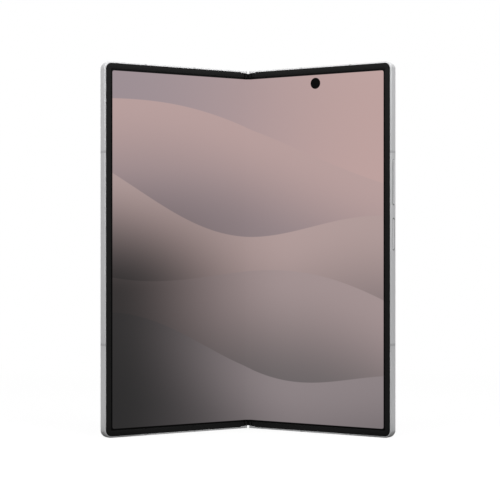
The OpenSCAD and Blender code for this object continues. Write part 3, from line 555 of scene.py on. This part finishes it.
# %% Outer display behind its cover glass
cover_low, cover_high = flat_box("cover_glass", LEFT)
eye_low, eye_high = flat_box("cover_camera", LEFT)
COVER_BORDER = 1.7
COVER_CORNER_R = 1.4
COVER_EYE_R = 1.9
COVER_LENS_R = 0.8
SOFT_STEP = 0.05


def outside_rounded(x, z, reach_x, reach_z, r):
    """Distance past a rounded rectangle: how far beyond its corner centre, less the radius."""
    over_x = (x.abs() - (reach_x - r)).above(0.0)
    over_z = (z.abs() - (reach_z - r)).above(0.0)
    return (over_x ** 2.0 + over_z ** 2.0).sqrt() - r


def from_point(x, z, x0, z0):
    """Distance from a point: the root of the sum of squares."""
    return ((x - x0) ** 2.0 + (z - z0) ** 2.0).sqrt()


def past(distance):
    """0 inside and 1 outside, with a soft step of a few hundredths of a millimetre."""
    return distance.ramp(-SOFT_STEP, SOFT_STEP)


@recipe("cover_glass")
def outer_display_glass(name):
    """Black glass; the sleeping display behind it is a shade lighter than its printed border."""
    glass = Finish(name, GLASS_BLACK, 0.06, Coat_Weight=0.15, Coat_Roughness=0.03)
    x, y, z = [part * (1 / MM) for part in glass.axes(glass.place())]
    across, back = x * float(LEFT) - AXIS[0], y - AXIS[1]
    u = across * math.cos(FOLD) - back * math.sin(FOLD) + AXIS[0]
    middle, reach = (cover_low + cover_high) / 2, (cover_high - cover_low) / 2 - COVER_BORDER
    eye = (eye_low + eye_high) / 2
    from_eye = from_point(u, z, eye[0], eye[2])
    pixels = (1.0 - past(outside_rounded(u - middle[0], z - middle[2], reach[0], reach[2],
                                         COVER_CORNER_R))) * past(from_eye - COVER_EYE_R)
    lens = 1.0 - past(from_eye - COVER_LENS_R)
    screen = glass.blend(pixels, GLASS_BLACK, (0.028, 0.028, 0.031))
    smear = glass.noise(SMEARS, detail=4.0)
    glass.set(Base_Color=glass.blend(lens, screen, (0.05, 0.055, 0.11)),
              Roughness=0.04 + 0.05 * smear)
    return glass


# %% Lens windows and flash, drawn as rings of the radius
THREAD_ANGLE = 44.0


@recipe("lens_glass")
def lens_glass(name):
    """A coated front lens, the threads of the barrel as sin(44 r), and a plain black rim."""
    glass = Finish(name, (0.004, 0.004, 0.005), 0.05, Coat_Weight=0.3, Coat_Roughness=0.02,
                   Specular_IOR_Level=0.2)
    radius, _, _ = glass.axes(glass.flat_map())
    threads = (radius * THREAD_ANGLE).sin().ramp(0.2, 0.9)
    cone = radius.ramp(0.3, 0.34) * (1.0 - radius.ramp(0.6, 0.64))
    coating = 1.0 - radius.ramp(0.16, 0.34)
    barrel = glass.blend(cone * threads, (0.003, 0.003, 0.004), (0.03, 0.03, 0.032))
    glass.set(Base_Color=glass.blend(coating, barrel, (0.012, 0.014, 0.03)),
              Roughness=0.05 + 0.2 * cone)
    return glass


@recipe("flash_lens")
def flash_lens(name):
    lens = Finish(name, (0.7, 0.66, 0.5), 0.25, Coat_Weight=0.8, Coat_Roughness=0.08)
    radius, _, _ = lens.axes(lens.flat_map())
    emitter = 1.0 - radius.ramp(0.36, 0.42)
    lens.set(Base_Color=lens.blend(emitter, (0.66, 0.65, 0.6), (0.75, 0.55, 0.12)),
             Roughness=0.2 + 0.15 * emitter)
    return lens


# %% [markdown]
# ## The lit display
#
# The panel gives its own light, so the picture goes into the emission and the
# base stays black. The picture is a calm set of overlapping hills in greys and
# dusty pinks. Each hill is a sine curve: below its edge it hides what lies
# behind, pale at the crest and darker towards its foot. It is drawn on the
# sheet's own flat coordinates, so it bends with the display and never slides.
# Outside a rectangle with round corners the panel has no pixels and is black.

# %% Hills, dark border and the camera's hole
camera_low, camera_high = flat_box("front_camera", RIGHT)
PUNCH_U = (camera_low[0] + camera_high[0]) / 2
PUNCH_Z = (camera_low[2] + camera_high[2]) / 2
PUNCH_R = 2.4
DARK_BORDER = 3.77
LIT_CORNER_R = 0.8
SKY = (tone(156, 142, 147), tone(189, 161, 158))
DUSK = tone(36, 36, 36)
DUSK_STRENGTH = 0.94
DUSK_ACROSS = (0.02, 0.68)
DUSK_UP = (0.38, 0.74)
# edge height, swing, cycles across, phase, crest colour, foot colour, depth of the fade
HILLS = [
    (0.80, 0.055, 0.62, 0.4, tone(183, 158, 156), tone(146, 131, 134), 0.30),
    (0.60, 0.070, 0.80, 2.6, tone(176, 155, 153), tone(124, 113, 114), 0.34),
    (0.41, 0.060, 0.70, 4.6, tone(162, 145, 145), tone(106, 100, 101), 0.34),
    (0.21, 0.050, 0.95, 1.1, tone(140, 130, 132), tone(104, 98, 100), 0.26),
]
HILL_SLOPE = 0.16
HILL_EDGE = 0.0012


def hills(panel, across, up):
    """The picture's colour: hill after hill in front of the one before, dusk at the lower left."""
    colour = panel.blend(across.ramp(0.0, 1.0), *SKY)
    for height, swing, cycles, phase, crest, foot, fade in HILLS:
        wave = (across * (2 * math.pi * cycles) + phase).sin()
        below = height + swing * wave - HILL_SLOPE * (across - 0.5) - up
        slope = panel.blend(below.ramp(0.0, fade), crest, foot)
        colour = panel.blend(below.ramp(-HILL_EDGE, HILL_EDGE), colour, slope)
    dusk = DUSK_STRENGTH * (1.0 - across.ramp(*DUSK_ACROSS)) * (1.0 - up.ramp(*DUSK_UP))
    return panel.blend(dusk, colour, DUSK)


def lit_area(x, z):
    """1 where the panel has pixels: inside a rounded rectangle and outside the camera's hole."""
    border = outside_rounded(x, z - HALF_H / 2, HALF_W - DARK_BORDER, HALF_H / 2 - DARK_BORDER,
                             LIT_CORNER_R)
    return (1.0 - past(border)) * past(from_point(x, z, PUNCH_U, PUNCH_Z) - PUNCH_R)


@recipe("display_panel")
def display_panel(name):
    panel = Finish(name, (0.001, 0.001, 0.001), 0.12, Specular_IOR_Level=0.03,
                   Emission_Strength=1.0)
    across, up, _ = panel.axes(panel.flat_map())
    lit = lit_area((across - 0.5) * (2 * HALF_W), up * HALF_H)
    panel.set(Emission_Color=panel.blend(lit, (0.0, 0.0, 0.0), hills(panel, across, up)),
              Roughness=0.1 + 0.06 * panel.noise([50.0] * 3))
    return panel


# %% [markdown]
# ## A display that bends
#
# One half of the display is a thin closed sheet from the fold to the outer
# edge. Near the fold each point turns by only part of the half's angle: none
# at the centre, all of it from the edge of the folding zone. So the resting
# place must satisfy its own rule, and a few rounds of putting the share back
# into the turn find it. The sheet is then exactly flat when the phone is
# open.

# %% Display sheets
glass_low, glass_high = flat_box("left_screen_glass", LEFT)
_, panel_high = flat_box("left_display_panel", LEFT)
bezel_low, bezel_high = flat_box("left_bezel", LEFT)
SHEET_TOP, SHEET_BACK = glass_low[1], panel_high[1]
FOLD_REACH = glass_low[0]
SHEET_CLEAR = 0.1
SHEET_INSET = HALF_W - glass_high[0] + SHEET_CLEAR
SHEET_CORNER_R = 1.6
CAP_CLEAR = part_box("display_fold_zone")[0].z / MM
MID_SHEET = (SHEET_TOP + SHEET_BACK) / 2
# The folding zone is thinner at the back, so that it clears the swing arms when shut
FOLD_THINNER = 0.14
FOLD_BACK = SHEET_BACK - FOLD_THINNER
FOLD_COLUMNS = 25
# Just past the folding zone the first column has the full thickness, the second the full height
STEP_COLUMNS = np.array([0.05, 0.15])
MIDDLE_COLUMNS = 12
COLUMN_GAP = 2.0
CORNER_COLUMNS = 9
SHEET_ROWS = 25


def share(points, start, end):
    """How far each point follows the spine: 3t^2 - 2t^3 of its way t from start to end."""
    way = end - start
    t = np.clip((points - start) @ way / (way @ way), 0, 1)
    return t * t * (3 - 2 * t)


def rested(flat, side, rounds=60):
    """Where flat points rest when each turns by the share of the fold that its own place gives."""
    start = folded([FOLD_REACH, MID_SHEET, 0], side)
    end = folded([0, MID_SHEET, 0], side, 0.0)
    angle = np.full(len(flat), FOLD)
    for _ in range(rounds):
        points = folded(flat, side, angle)
        angle = FOLD * (1 - share(points, start, end))
    return points, start, end


def sheet_edge(u):
    """How far the sheet's lower edge lies above the half's: a clear strip at the cap, then the
    inset, then a quarter round r - sqrt(r^2 - (u - u0)^2) at the outer corner."""
    u0 = HALF_W - SHEET_INSET - SHEET_CORNER_R
    beyond = np.clip(u - u0, 0, SHEET_CORNER_R)
    rounding = SHEET_CORNER_R - np.sqrt(SHEET_CORNER_R ** 2 - beyond ** 2)
    return np.where(u < FOLD_REACH + STEP_COLUMNS.mean(), CAP_CLEAR, SHEET_INSET + rounding)


def display_sheet(side):
    """A loop of columns runs out along the front and home along the back, drawn up along z."""
    fold = np.linspace(0, FOLD_REACH, FOLD_COLUMNS)
    step = FOLD_REACH + STEP_COLUMNS
    turn = np.linspace(0, math.pi / 2, CORNER_COLUMNS)
    corner = HALF_W - SHEET_INSET - SHEET_CORNER_R * (1 - np.sin(turn))
    middle = np.linspace(step[1] + COLUMN_GAP, corner[0] - COLUMN_GAP, MIDDLE_COLUMNS)
    u = np.concatenate([fold, step, middle, corner])
    loop_u = np.concatenate([u, u[::-1]])
    back = np.where(u < FOLD_REACH + WELD / MM, FOLD_BACK, SHEET_BACK)
    depth = np.concatenate([np.full(len(u), SHEET_TOP), back[::-1]])
    t = np.linspace(0, 1, SHEET_ROWS)[:, None]
    low = sheet_edge(loop_u)[None, :]
    z = low + t * (HALF_H - 2 * low)
    flat = np.stack(np.broadcast_arrays(loop_u[None, :], depth[None, :], z), axis=-1).reshape(-1, 3)
    points, start, end = rested(flat, side)
    faces = grid_faces(len(t), len(loop_u), wrap_cols=True)
    i = np.arange(len(u) - 1)
    for row in (0, len(t) - 1):
        base = row * len(loop_u)
        strip = np.stack([i, i + 1, len(loop_u) - 2 - i, len(loop_u) - 1 - i], axis=-1) + base
        faces += strip.tolist() if row else strip[:, ::-1].tolist()
    uv = np.stack([side * flat[:, 0] / (2 * HALF_W) + 0.5, flat[:, 2] / HALF_H], axis=-1)
    sheet = surface(f"{SIDE_NAME[side]}_display", points, faces, "display_panel", uv)
    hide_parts(f"{SIDE_NAME[side]}_screen_glass", f"{SIDE_NAME[side]}_display_panel",
                "display_fold_zone")
    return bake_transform(sheet)


for side in (LEFT, RIGHT):
    made = display_sheet(side)
    print(made.name, "has", len(made.data.polygons), "faces")

# %% [markdown]
# ## Cables through the hinge
#
# Two flat cables join the boards. Each runs in a slot of the half's beam, dips
# into the spine and lies on the floor of its round channel. One half of the
# pair is drawn as a centre line: the slot, a Bezier curve into the spine, the
# floor. The line gets its thickness along its normals and its width along z.
# Like the display, a cable turns from the half to the spine between the two
# ends of its curve.

# %% Flat cables
CABLES = "hinge_flex_cables"
BEND_FROM_AXIS = 2.7
BEND_HANDLE = 0.9
BEND_STEPS = 13
BOARD_END = 0.5


def cable_line(side):
    """Resting centre line (x, y) in mm from the board to the centre plane, and its bend's ends."""
    flat = from_front(CABLES, side)
    reach = flat[:, 0].max()
    at_board = flat[flat[:, 0] > reach - BOARD_END, 1]
    lane = (at_board.min() + at_board.max()) / 2
    thick = 2 * (at_board.max() - lane)
    floor_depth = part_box(CABLES)[1].y / MM - AXIS[1] + AXIS_DEPTH - thick / 2
    board, start = folded([[reach, lane, 0], [AXIS[0] + BEND_FROM_AXIS, lane, 0]], side)[:, :2] / MM
    end, centre = folded([[AXIS[0], floor_depth, 0], [0, floor_depth, 0]], side, 0.0)[:, :2] / MM
    t = np.linspace(0, 1, BEND_STEPS)[:, None]
    into = start + (start - board) / np.linalg.norm(start - board) * BEND_HANDLE
    out = end + (end - centre) / np.linalg.norm(end - centre) * BEND_HANDLE
    curve = ((1 - t) ** 3 * start + 3 * (1 - t) ** 2 * t * into + 3 * (1 - t) * t ** 2 * out
             + t ** 3 * end)
    return np.concatenate([[board], curve, [centre]]), start, end, thick


def cable_pair(side):
    """The cables' own half: the centre line widened both ways and drawn along z, twice."""
    line, start, end, thick = cable_line(side)
    along = np.gradient(line, axis=0)
    along /= np.linalg.norm(along, axis=1)[:, None]
    normal = np.stack([-along[:, 1], along[:, 0]], axis=-1) * thick / 2
    loop = np.concatenate([line + normal, (line - normal)[::-1]])
    heights = np.unique(unfolded(CABLES, side)[:, 2].round(2)).reshape(2, 2)
    points, faces = [], []
    n = len(loop)
    for low, high in heights:
        first = 2 * n * (len(points) // 2)
        points += [np.column_stack([loop, np.full(n, z)]) for z in (low, high)]
        quads = np.array(grid_faces(2, n, wrap_cols=True)) + first
        i = np.arange(len(line) - 1)
        strip = np.stack([i, i + 1, n - 2 - i, n - 1 - i], axis=-1) + first
        faces += quads.tolist() + strip[:, ::-1].tolist() + (strip + n).tolist()
    made = surface(f"{SIDE_NAME[side]}_hinge_cables", np.concatenate(points) * MM, faces,
                   "flex_polyimide")
    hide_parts(CABLES)
    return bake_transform(made)


for side in (LEFT, RIGHT):
    made = cable_pair(side)
    print(made.name, "has", len(made.data.polygons), "faces")

# %% [markdown]
# ## The bezel
#
# A soft plastic frame is stuck over the display's edge and stands a hair
# proud, which keeps the folded screens apart. It is one profile carried along
# a path: from a narrow tab at the hinge round both outer corners and back. On a
# corner the path's radius shrinks with the distance from the edge, so the
# profile keeps its width. The tab is the same profile, cut off at the end wall.

# %% Bezels
CORNER_R = 3.2
LEAST_R = 0.3
BEZEL_W = 2.36
BEZEL_ROUND = 0.1
ROUND_STEPS = 5
RIM = HALF_W - bezel_high[0]
TAB_RIM = 1.0
TAB_END = 4.2
ARC_STEPS = 12


def bezel_profile():
    """Closed section (distance from the half's edge, depth), with rounded front edges."""
    turn = np.linspace(0, math.pi / 2, ROUND_STEPS)
    outer, inner = RIM, RIM + BEZEL_W
    top, r = bezel_low[1], BEZEL_ROUND
    outer_round = np.stack([outer + r - r * np.cos(turn), top + r - r * np.sin(turn)], axis=-1)
    inner_round = np.stack([inner - r + r * np.sin(turn), top + r - r * np.cos(turn)], axis=-1)
    step = HALF_W - glass_high[0]
    return np.concatenate([[[outer, bezel_high[1]]], outer_round, inner_round,
                           [[inner, SHEET_TOP], [step, SHEET_TOP], [step, bezel_high[1]]]])


def bezel_path(distance):
    """Stations (u, z) at a distance from the edge: centre + r (cos, sin) of the turn on corners."""
    r = np.maximum(CORNER_R - distance, LEAST_R)
    turn = np.linspace(-math.pi / 2, 0, ARC_STEPS)
    far, low = HALF_W - distance - r, distance + r
    tab = max(distance, TAB_RIM)
    start = [[bezel_low[0], tab], [TAB_END, tab], [TAB_END, distance]]
    first = np.stack([far + r * np.cos(turn), low + r * np.sin(turn)], axis=-1)
    lower = np.concatenate([start, first])
    upper = lower[::-1] * [1, -1] + [0, HALF_H]
    return np.concatenate([lower, upper])


def bezel(side):
    """The profile at every station of its path, folded into place and closed at both ends."""
    profile = bezel_profile()
    path = np.stack([bezel_path(distance) for distance in profile[:, 0]], axis=1)
    depth = np.broadcast_to(profile[None, :, 1], path.shape[:2])
    flat = np.stack([path[..., 0], depth, path[..., 1]], axis=-1)
    rows, cols = depth.shape
    faces = grid_faces(rows, cols, wrap_cols=True)
    faces += [list(range(cols))[::-1], list(range((rows - 1) * cols, rows * cols))]
    name = f"{SIDE_NAME[side]}_bezel"
    made = surface(f"{name}_trim", folded(flat.reshape(-1, 3), side), faces, "bezel_plastic",
                   smooth_angle=60)
    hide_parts(name)
    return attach(made, BODY[side])


for side in (LEFT, RIGHT):
    made = bezel(side)
    print(made.name, "has", len(made.data.polygons), "faces")

# %% [markdown]
# ## Round pieces: lenses, rings and the flash
#
# A lens window, its metal ring and the flash lens are turned shapes. A profile
# of radius and height is carried round the lens's own axis, which runs through
# the half's thickness. The radius is kept as a texture coordinate, so a finish
# can draw rings that share the lens's centre.

# %% Turned pieces
TURN_STEPS = 72
CAMERAS = 3


def turned_points(profile, u, z, closed):
    """Points (u + r cos a, depth, z + r sin a) for each profile point (r, depth) and angle a."""
    profile = np.asarray(profile, float)
    angle = np.arange(TURN_STEPS)[:, None] * (2 * math.pi / TURN_STEPS)
    r, depth = profile[None, :, 0], profile[None, :, 1]
    flat = np.stack(np.broadcast_arrays(u + r * np.cos(angle), depth, z + r * np.sin(angle)),
                    axis=-1)
    uv = np.stack(np.broadcast_arrays(r / r.max(), 0 * angle), axis=-1)
    faces = grid_faces(TURN_STEPS, len(profile), wrap_rows=True, wrap_cols=closed)
    return flat.reshape(-1, 3), uv.reshape(-1, 2), faces


def turned_piece(name, profile, places, side, slot_name, closed=False, replaces=None):
    """One object of the same turned shape at each place (u, z)."""
    flat, uvs, faces = [], [], []
    for number, (u, z) in enumerate(places):
        points, uv, quads = turned_points(profile, u, z, closed)
        flat.append(points)
        uvs.append(uv)
        faces += (np.array(quads) + number * len(points)).tolist()
    made = surface(name, folded(np.concatenate(flat), side), faces, slot_name,
                   np.concatenate(uvs), smooth_angle=30)
    if replaces:
        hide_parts(replaces)
    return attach(made, BODY[side])


def round_places(node, radius):
    """Centres (u, z) of a column of equal round solids, from the column's box."""
    low, high = flat_box(node, RIGHT)
    u = (low[0] + high[0]) / 2
    return [(u, z) for z in np.linspace(high[2] - radius, low[2] + radius, CAMERAS)]


ring_low, ring_high = flat_box("camera_rings", RIGHT)
lens_low, lens_high = flat_box("camera_lenses", RIGHT)
RING_R = (ring_high[0] - ring_low[0]) / 2
LENS_R = (lens_high[0] - lens_low[0]) / 2
lens_places = round_places("camera_lenses", LENS_R)
DECK_BACK, RING_BACK, LENS_BACK = ring_low[1], ring_high[1], lens_high[1]

# %% Lens windows: flange, dark cone, domed front glass
DOME_R, CONE_R, FLANGE_R = 0.58 * LENS_R, 0.66 * LENS_R, 0.8 * LENS_R
DOME_SINK, CONE_SINK, FLANGE_SINK = 0.12, 0.15, 0.02
DOME_STEPS = 9
dome = np.linspace(0, 1, DOME_STEPS)
lens_profile = np.concatenate([
    np.stack([DOME_R * dome, LENS_BACK - DOME_SINK * dome ** 2], axis=-1),
    [[CONE_R, LENS_BACK - CONE_SINK], [FLANGE_R, LENS_BACK - FLANGE_SINK],
     [LENS_R, LENS_BACK - FLANGE_SINK], [LENS_R, DECK_BACK], [0, DECK_BACK]]])
turned_piece("lens_windows", lens_profile, lens_places, RIGHT, "lens_glass",
             replaces="camera_lenses")

# %% Camera rings: a round shoulder and a polished inner chamfer
SHOULDER_R = 0.3
SHOULDER_STEPS = 7
CHAMFER_WIDE, CHAMFER_DEEP = 0.3, 0.15
turn = np.linspace(0, math.pi / 2, SHOULDER_STEPS)
ring_profile = np.concatenate([
    [[LENS_R, DECK_BACK], [RING_R, DECK_BACK]],
    np.stack([RING_R - SHOULDER_R + SHOULDER_R * np.cos(turn),
              RING_BACK - SHOULDER_R + SHOULDER_R * np.sin(turn)], axis=-1),
    [[LENS_R + CHAMFER_WIDE, RING_BACK], [LENS_R, RING_BACK - CHAMFER_DEEP]]])
turned_piece("lens_rings", ring_profile, lens_places, RIGHT, "key_aluminium", closed=True,
             replaces="camera_rings")

# %% Flash window, with the fine steps of a moulded lens
flash_low, flash_high = flat_box("flash_window", RIGHT)
FLASH_R = (flash_high[0] - flash_low[0]) / 2
FLASH_LENS_R = 0.86 * FLASH_R
FLASH_STEP = 0.02
STEP_COUNT = 13
steps = np.linspace(0, FLASH_LENS_R, STEP_COUNT)
relief = flash_high[1] - FLASH_STEP * (np.arange(STEP_COUNT) % 2)
flash_profile = np.concatenate([np.stack([steps, relief], axis=-1),
                                [[FLASH_R, flash_high[1]], [FLASH_R, flash_low[1]],
                                 [0, flash_low[1]]]])
flash_place = [((flash_low[0] + flash_high[0]) / 2, (flash_low[2] + flash_high[2]) / 2)]
turned_piece("flash_lens", flash_profile, flash_place, RIGHT, "flash_lens",
             replaces="flash_window")

# %% Front camera's eye, just over the display
EYE_CLEAR = 0.12
EYE_R = PUNCH_R - EYE_CLEAR
EYE_LENS_R = 0.45 * EYE_R
EYE_PROUD, EYE_DOME, EYE_RIM_PROUD, EYE_SINK = 0.04, 0.024, 0.012, 0.02
eye_profile = np.concatenate([
    np.stack([EYE_LENS_R * dome, SHEET_TOP - EYE_PROUD + EYE_DOME * dome ** 2], axis=-1),
    [[EYE_R, SHEET_TOP - EYE_RIM_PROUD], [EYE_R, SHEET_TOP + EYE_SINK],
     [0, SHEET_TOP + EYE_SINK]]])
turned_piece("front_camera_eye", eye_profile, [(PUNCH_U, PUNCH_Z)], RIGHT, "camera_black")
print("lenses at", [(round(float(u), 1), round(float(z), 1)) for u, z in lens_places])

# %% [markdown]
# ## Seals round the keys
#
# A dark rubber lip closes the gap between each key and its slot, and is wider
# at the slot's two ends. Its section is a rectangle that is carried round a
# pill: two half circles joined by straight sides. A wider gap at the ends lets
# the volume key rock.

# %% Key seals
SEAL_GAP = 0.03
SEAL_END_GAP = 0.07
SEAL_PROUD = 0.02
SEAL_DEPTH = 0.4
HEAD_SLICE = 0.05
# the lip's width in front of the key, behind it and at its two ends
SEALS = {"volume_key": (0.02, 0.02, 0.17), "side_key": (0.1, 0.02, 0.26)}


def pill(length, width, steps=12):
    """Points (z, depth) round a pill: centre +-(length - width) / 2, then half circles."""
    turn = np.linspace(-math.pi / 2, math.pi / 2, steps)
    cap = np.stack([np.cos(turn), np.sin(turn)], axis=-1) * width / 2
    cap[:, 0] += (length - width) / 2
    return np.concatenate([cap, -cap])


def key_seal(node, before, behind, ends):
    """The lip between two pills: the key's outline and a gap, and the same one made wider.

    It stands proud of the frame, but its straight side behind is no higher than the key.
    """
    low, high = flat_box(node, RIGHT)
    key = from_front(node, RIGHT)
    head = key[key[:, 0] > high[0] - HEAD_SLICE]
    middle = [(head[:, 2].min() + head[:, 2].max()) / 2, (low[1] + high[1]) / 2]
    length, width = np.ptp(head[:, 2]) + 2 * SEAL_END_GAP, np.ptp(head[:, 1]) + 2 * SEAL_GAP
    inner = pill(length, width) + middle
    outer = pill(length + 2 * ends, width + before + behind) + middle
    outer[:, 1] += (behind - before) / 2
    bottom, top = [np.full(len(inner), HALF_W + rise) for rise in (-SEAL_DEPTH, SEAL_PROUD)]
    top[inner[:, 1] > inner[:, 1].max() - WELD / MM] = min(HALF_W + SEAL_PROUD, high[0])
    section = [(inner, bottom), (inner, top), (outer, top), (outer, bottom)]
    flat = np.stack([np.column_stack([u, ring[:, 1], ring[:, 0]]) for ring, u in section], axis=1)
    made = surface(f"{node}_seal", folded(flat.reshape(-1, 3), RIGHT),
                   grid_faces(len(inner), len(section), True, True), "cap_rubber")
    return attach(made, BODY[RIGHT])


for node, widths in SEALS.items():
    key_seal(node, *widths)

# %% [markdown]
# ## Machined parts keep their solids' shape
#
# The frames, the spine, the keys, the glass backs and the camera deck already
# have the right shape as solids. Their meshes arrive as loose triangles, so a
# copy is welded and its curved faces are shaded smooth. Where an edge should
# catch the light, the flat areas are joined again and the edge gets a small
# bevel: no real edge is perfectly sharp, and the bevel draws the highlight.

# %% Welded copies with soft edges
FLAT_WITHIN = math.radians(0.05)
BEVEL_ABOVE = math.radians(50)
BEVEL_STEPS = 3
SHARP_ABOVE = math.radians(25)
slot_of = {part["node"]: part["material_slot"] for part in frame["record"]["subparts"]}


def dressed(node, bevel=0.0):
    """A welded, smoothly shaded copy that stands for a node; bevel is its edge radius in mm."""
    source = frame["nodes"][node]
    mesh = source.data.copy()
    for layer in ("custom_normal", "sharp_edge", "sharp_face"):
        if layer in mesh.attributes:
            mesh.attributes.remove(mesh.attributes[layer])
    work = bmesh.new()
    work.from_mesh(mesh)
    bmesh.ops.remove_doubles(work, verts=work.verts, dist=WELD)
    if bevel:
        bmesh.ops.dissolve_limit(work, angle_limit=FLAT_WITHIN, verts=work.verts, edges=work.edges)
    work.to_mesh(mesh)
    work.free()
    mesh.shade_smooth()
    made = bpy.data.objects.new(f"{node}_skin", mesh)
    bpy.context.scene.collection.objects.link(made)
    mesh.materials.clear()
    mesh.materials.append(finish_of(slot_of[node]))
    if bevel:
        edge = made.modifiers.new("soft edge", "BEVEL")
        edge.width, edge.segments = bevel * MM, BEVEL_STEPS
        edge.limit_method, edge.angle_limit = "ANGLE", BEVEL_ABOVE
        shade = made.modifiers.new("flat faces", "WEIGHTED_NORMAL")
        shade.keep_sharp = False
    else:
        mesh.set_sharp_from_angle(angle=SHARP_ABOVE)
    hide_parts(node)
    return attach(made, source["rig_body"])


for node in ("left_frame", "right_frame", "spine_cover", "sim_tray", "usb_socket", "fold_caps",
             "left_antenna_bands", "right_antenna_bands", "rear_glass"):
    dressed(node)
SOFT_EDGES = {"cover_glass": 0.15, "camera_deck": 0.35, "volume_key": 0.1, "side_key": 0.15}
for node, bevel in SOFT_EDGES.items():
    made = dressed(node, bevel)
    print(made.name, "has", len(made.data.polygons), "faces before its bevel")

# %% [markdown]
# ## Everything inside
#
# The rest of the solids stay as they are: their shapes are right, and only
# their finish is missing. Each takes the recipe of its own material slot.

# %% Finishes of the solids that stay
for node, thing in frame["nodes"].items():
    thing.data.materials.clear()
    thing.data.materials.append(finish_of(slot_of[node]))
print(len(FINISHES), "finishes on", len(slot_of), "solids")

# %% [markdown]
# ## Light, floor and camera
#
# The phone stands on white paper between large white surfaces. The world is a
# weak white. Two lamps stand in front, one on each side, a wide one hangs
# above, and one behind lights the backs and the top edges. Rays that come
# straight from the camera, or by way of metal or glass, see pure white, so the
# background is white while the light on the phone stays plain. Near the phone
# the floor is part paper and part glow, and its paper takes the shadow.
# Further out only the glow is left, so the floor runs into the white. Round
# each outer corner of the phone a small spot of floor looks darker by way of
# metal and glass. It gives the foot of the side faces a soft dark reflection.

# %% World and floor
WORLD_LIGHT = 0.1
FLOOR_PAPER = 0.16
FLOOR_GLOW = 0.87
PAPER_REACH = (0.15, 0.4)
SPOT_REACH = (0.012, 0.025)
SPOT_DARK = 0.9
FLOOR_REACH = 6.0
FLOOR_STEPS = 13
FLOOR_DROP = 0.02


class Sky(Finish):
    """The world's graph, with the same helpers as a finish."""

    def __init__(self):
        self.world = bpy.data.worlds.new("studio")
        self.world.use_nodes = True
        self.tree = self.world.node_tree
        self.shader = self.tree.nodes["Background"]
        bpy.context.scene.world = self.world


def seen_directly(graph):
    """1 for rays from the camera or by way of metal and glass, 0 for light that bounces."""
    paths = [graph.node("ShaderNodeLightPath", output=name)
             for name in ("Is Camera Ray", "Is Glossy Ray", "Is Transmission Ray")]
    return graph.node("ShaderNodeMath", {"operation": "ADD", "use_clamp": True},
                      {0: paths[0] + paths[1], 1: paths[2]})


sky = Sky()
sky.set(Color=(1.0, 1.0, 1.0, 1.0),
        Strength=WORLD_LIGHT + (1.0 - WORLD_LIGHT) * seen_directly(sky))

paper = Finish("white_paper", (FLOOR_PAPER,) * 3, 1.0, Specular_IOR_Level=0.0,
               Emission_Color=(1.0, 1.0, 1.0, 1.0))
floor_x, floor_y, _ = paper.axes(paper.place())
near = 1.0 - from_point(floor_x, floor_y, 0.0, 0.0).ramp(*PAPER_REACH)
spot_x, spot_y, _ = folded([HALF_W, HALF_T / 2, 0.0], RIGHT).tolist()
beside = 1.0 - from_point(floor_x.abs(), floor_y, spot_x, spot_y).ramp(*SPOT_REACH)
mirrored = paper.node("ShaderNodeLightPath", output="Is Glossy Ray")
glow = (1.0 - (1.0 - FLOOR_GLOW) * near) * (1.0 - SPOT_DARK * beside * mirrored)
paper.set(Base_Color=paper.blend(near, (0.0,) * 3, (FLOOR_PAPER,) * 3),
          Emission_Strength=glow * seen_directly(paper))
print(f"dark spots of floor at x = +-{spot_x / MM:.1f} mm, y = {spot_y / MM:.1f} mm")

span = np.linspace(-FLOOR_REACH, FLOOR_REACH, FLOOR_STEPS)
across, along = np.meshgrid(span, span, indexing="ij")
level = np.full_like(across, -FLOOR_DROP * MM)
corners = np.stack([across, along, level], axis=-1).reshape(-1, 3)
floor_mesh = bpy.data.meshes.new("floor")
floor_mesh.from_pydata(corners.tolist(), [],
                       [quad[::-1] for quad in grid_faces(FLOOR_STEPS, FLOOR_STEPS)])
floor_mesh.materials.append(paper.material)
floor = bpy.data.objects.new("floor", floor_mesh)
bpy.context.scene.collection.objects.link(floor)

# %% Lamps
MIDDLE = (0.0, 0.0, HALF_H * MM / 2)


def lamp(name, place, size, power):
    """A square area lamp that faces the middle of the phone."""
    light = bpy.data.lights.new(name, "AREA")
    light.shape, light.size, light.energy = "SQUARE", size, power
    holder = bpy.data.objects.new(name, light)
    holder.location = place
    holder.rotation_euler = (Vector(MIDDLE) - Vector(place)).to_track_quat("-Z", "Y").to_euler()
    bpy.context.scene.collection.objects.link(holder)


lamp("left_lamp", (-0.26, -0.21, 0.36), 0.4, 1.4)
lamp("right_lamp", (0.26, -0.21, 0.36), 0.4, 1.4)
lamp("top_lamp", (0.0, -0.1, 1.1), 2.4, 4.0)
lamp("back_lamp", (0.2, 0.9, 1.2), 1.6, 6.0)

# %% Camera
# frame width and focal length in pixels; distance, and shift sideways and upwards, in mm
FRAME_PX = 500
FOCUS_PX = 1546.3
DISTANCE = 685.7
SHIFT = (0.845, -0.17)
camera_data = bpy.data.cameras.new("camera")
camera_data.sensor_width = 36.0
camera_data.lens = camera_data.sensor_width * FOCUS_PX / FRAME_PX
camera_data.clip_start, camera_data.clip_end = 0.01, 50.0
camera = bpy.data.objects.new("camera", camera_data)
front_plane = AXIS[1] - AXIS_DEPTH
camera.location = (SHIFT[0] * MM, (front_plane - DISTANCE) * MM, (HALF_H / 2 + SHIFT[1]) * MM)
camera.rotation_euler = (math.pi / 2, 0.0, 0.0)
bpy.context.scene.collection.objects.link(camera)
bpy.context.scene.camera = camera
bpy.context.scene.view_settings.view_transform = "Standard"
print(f"camera stands {DISTANCE:.0f} mm away with a {camera_data.lens:.0f} mm lens")
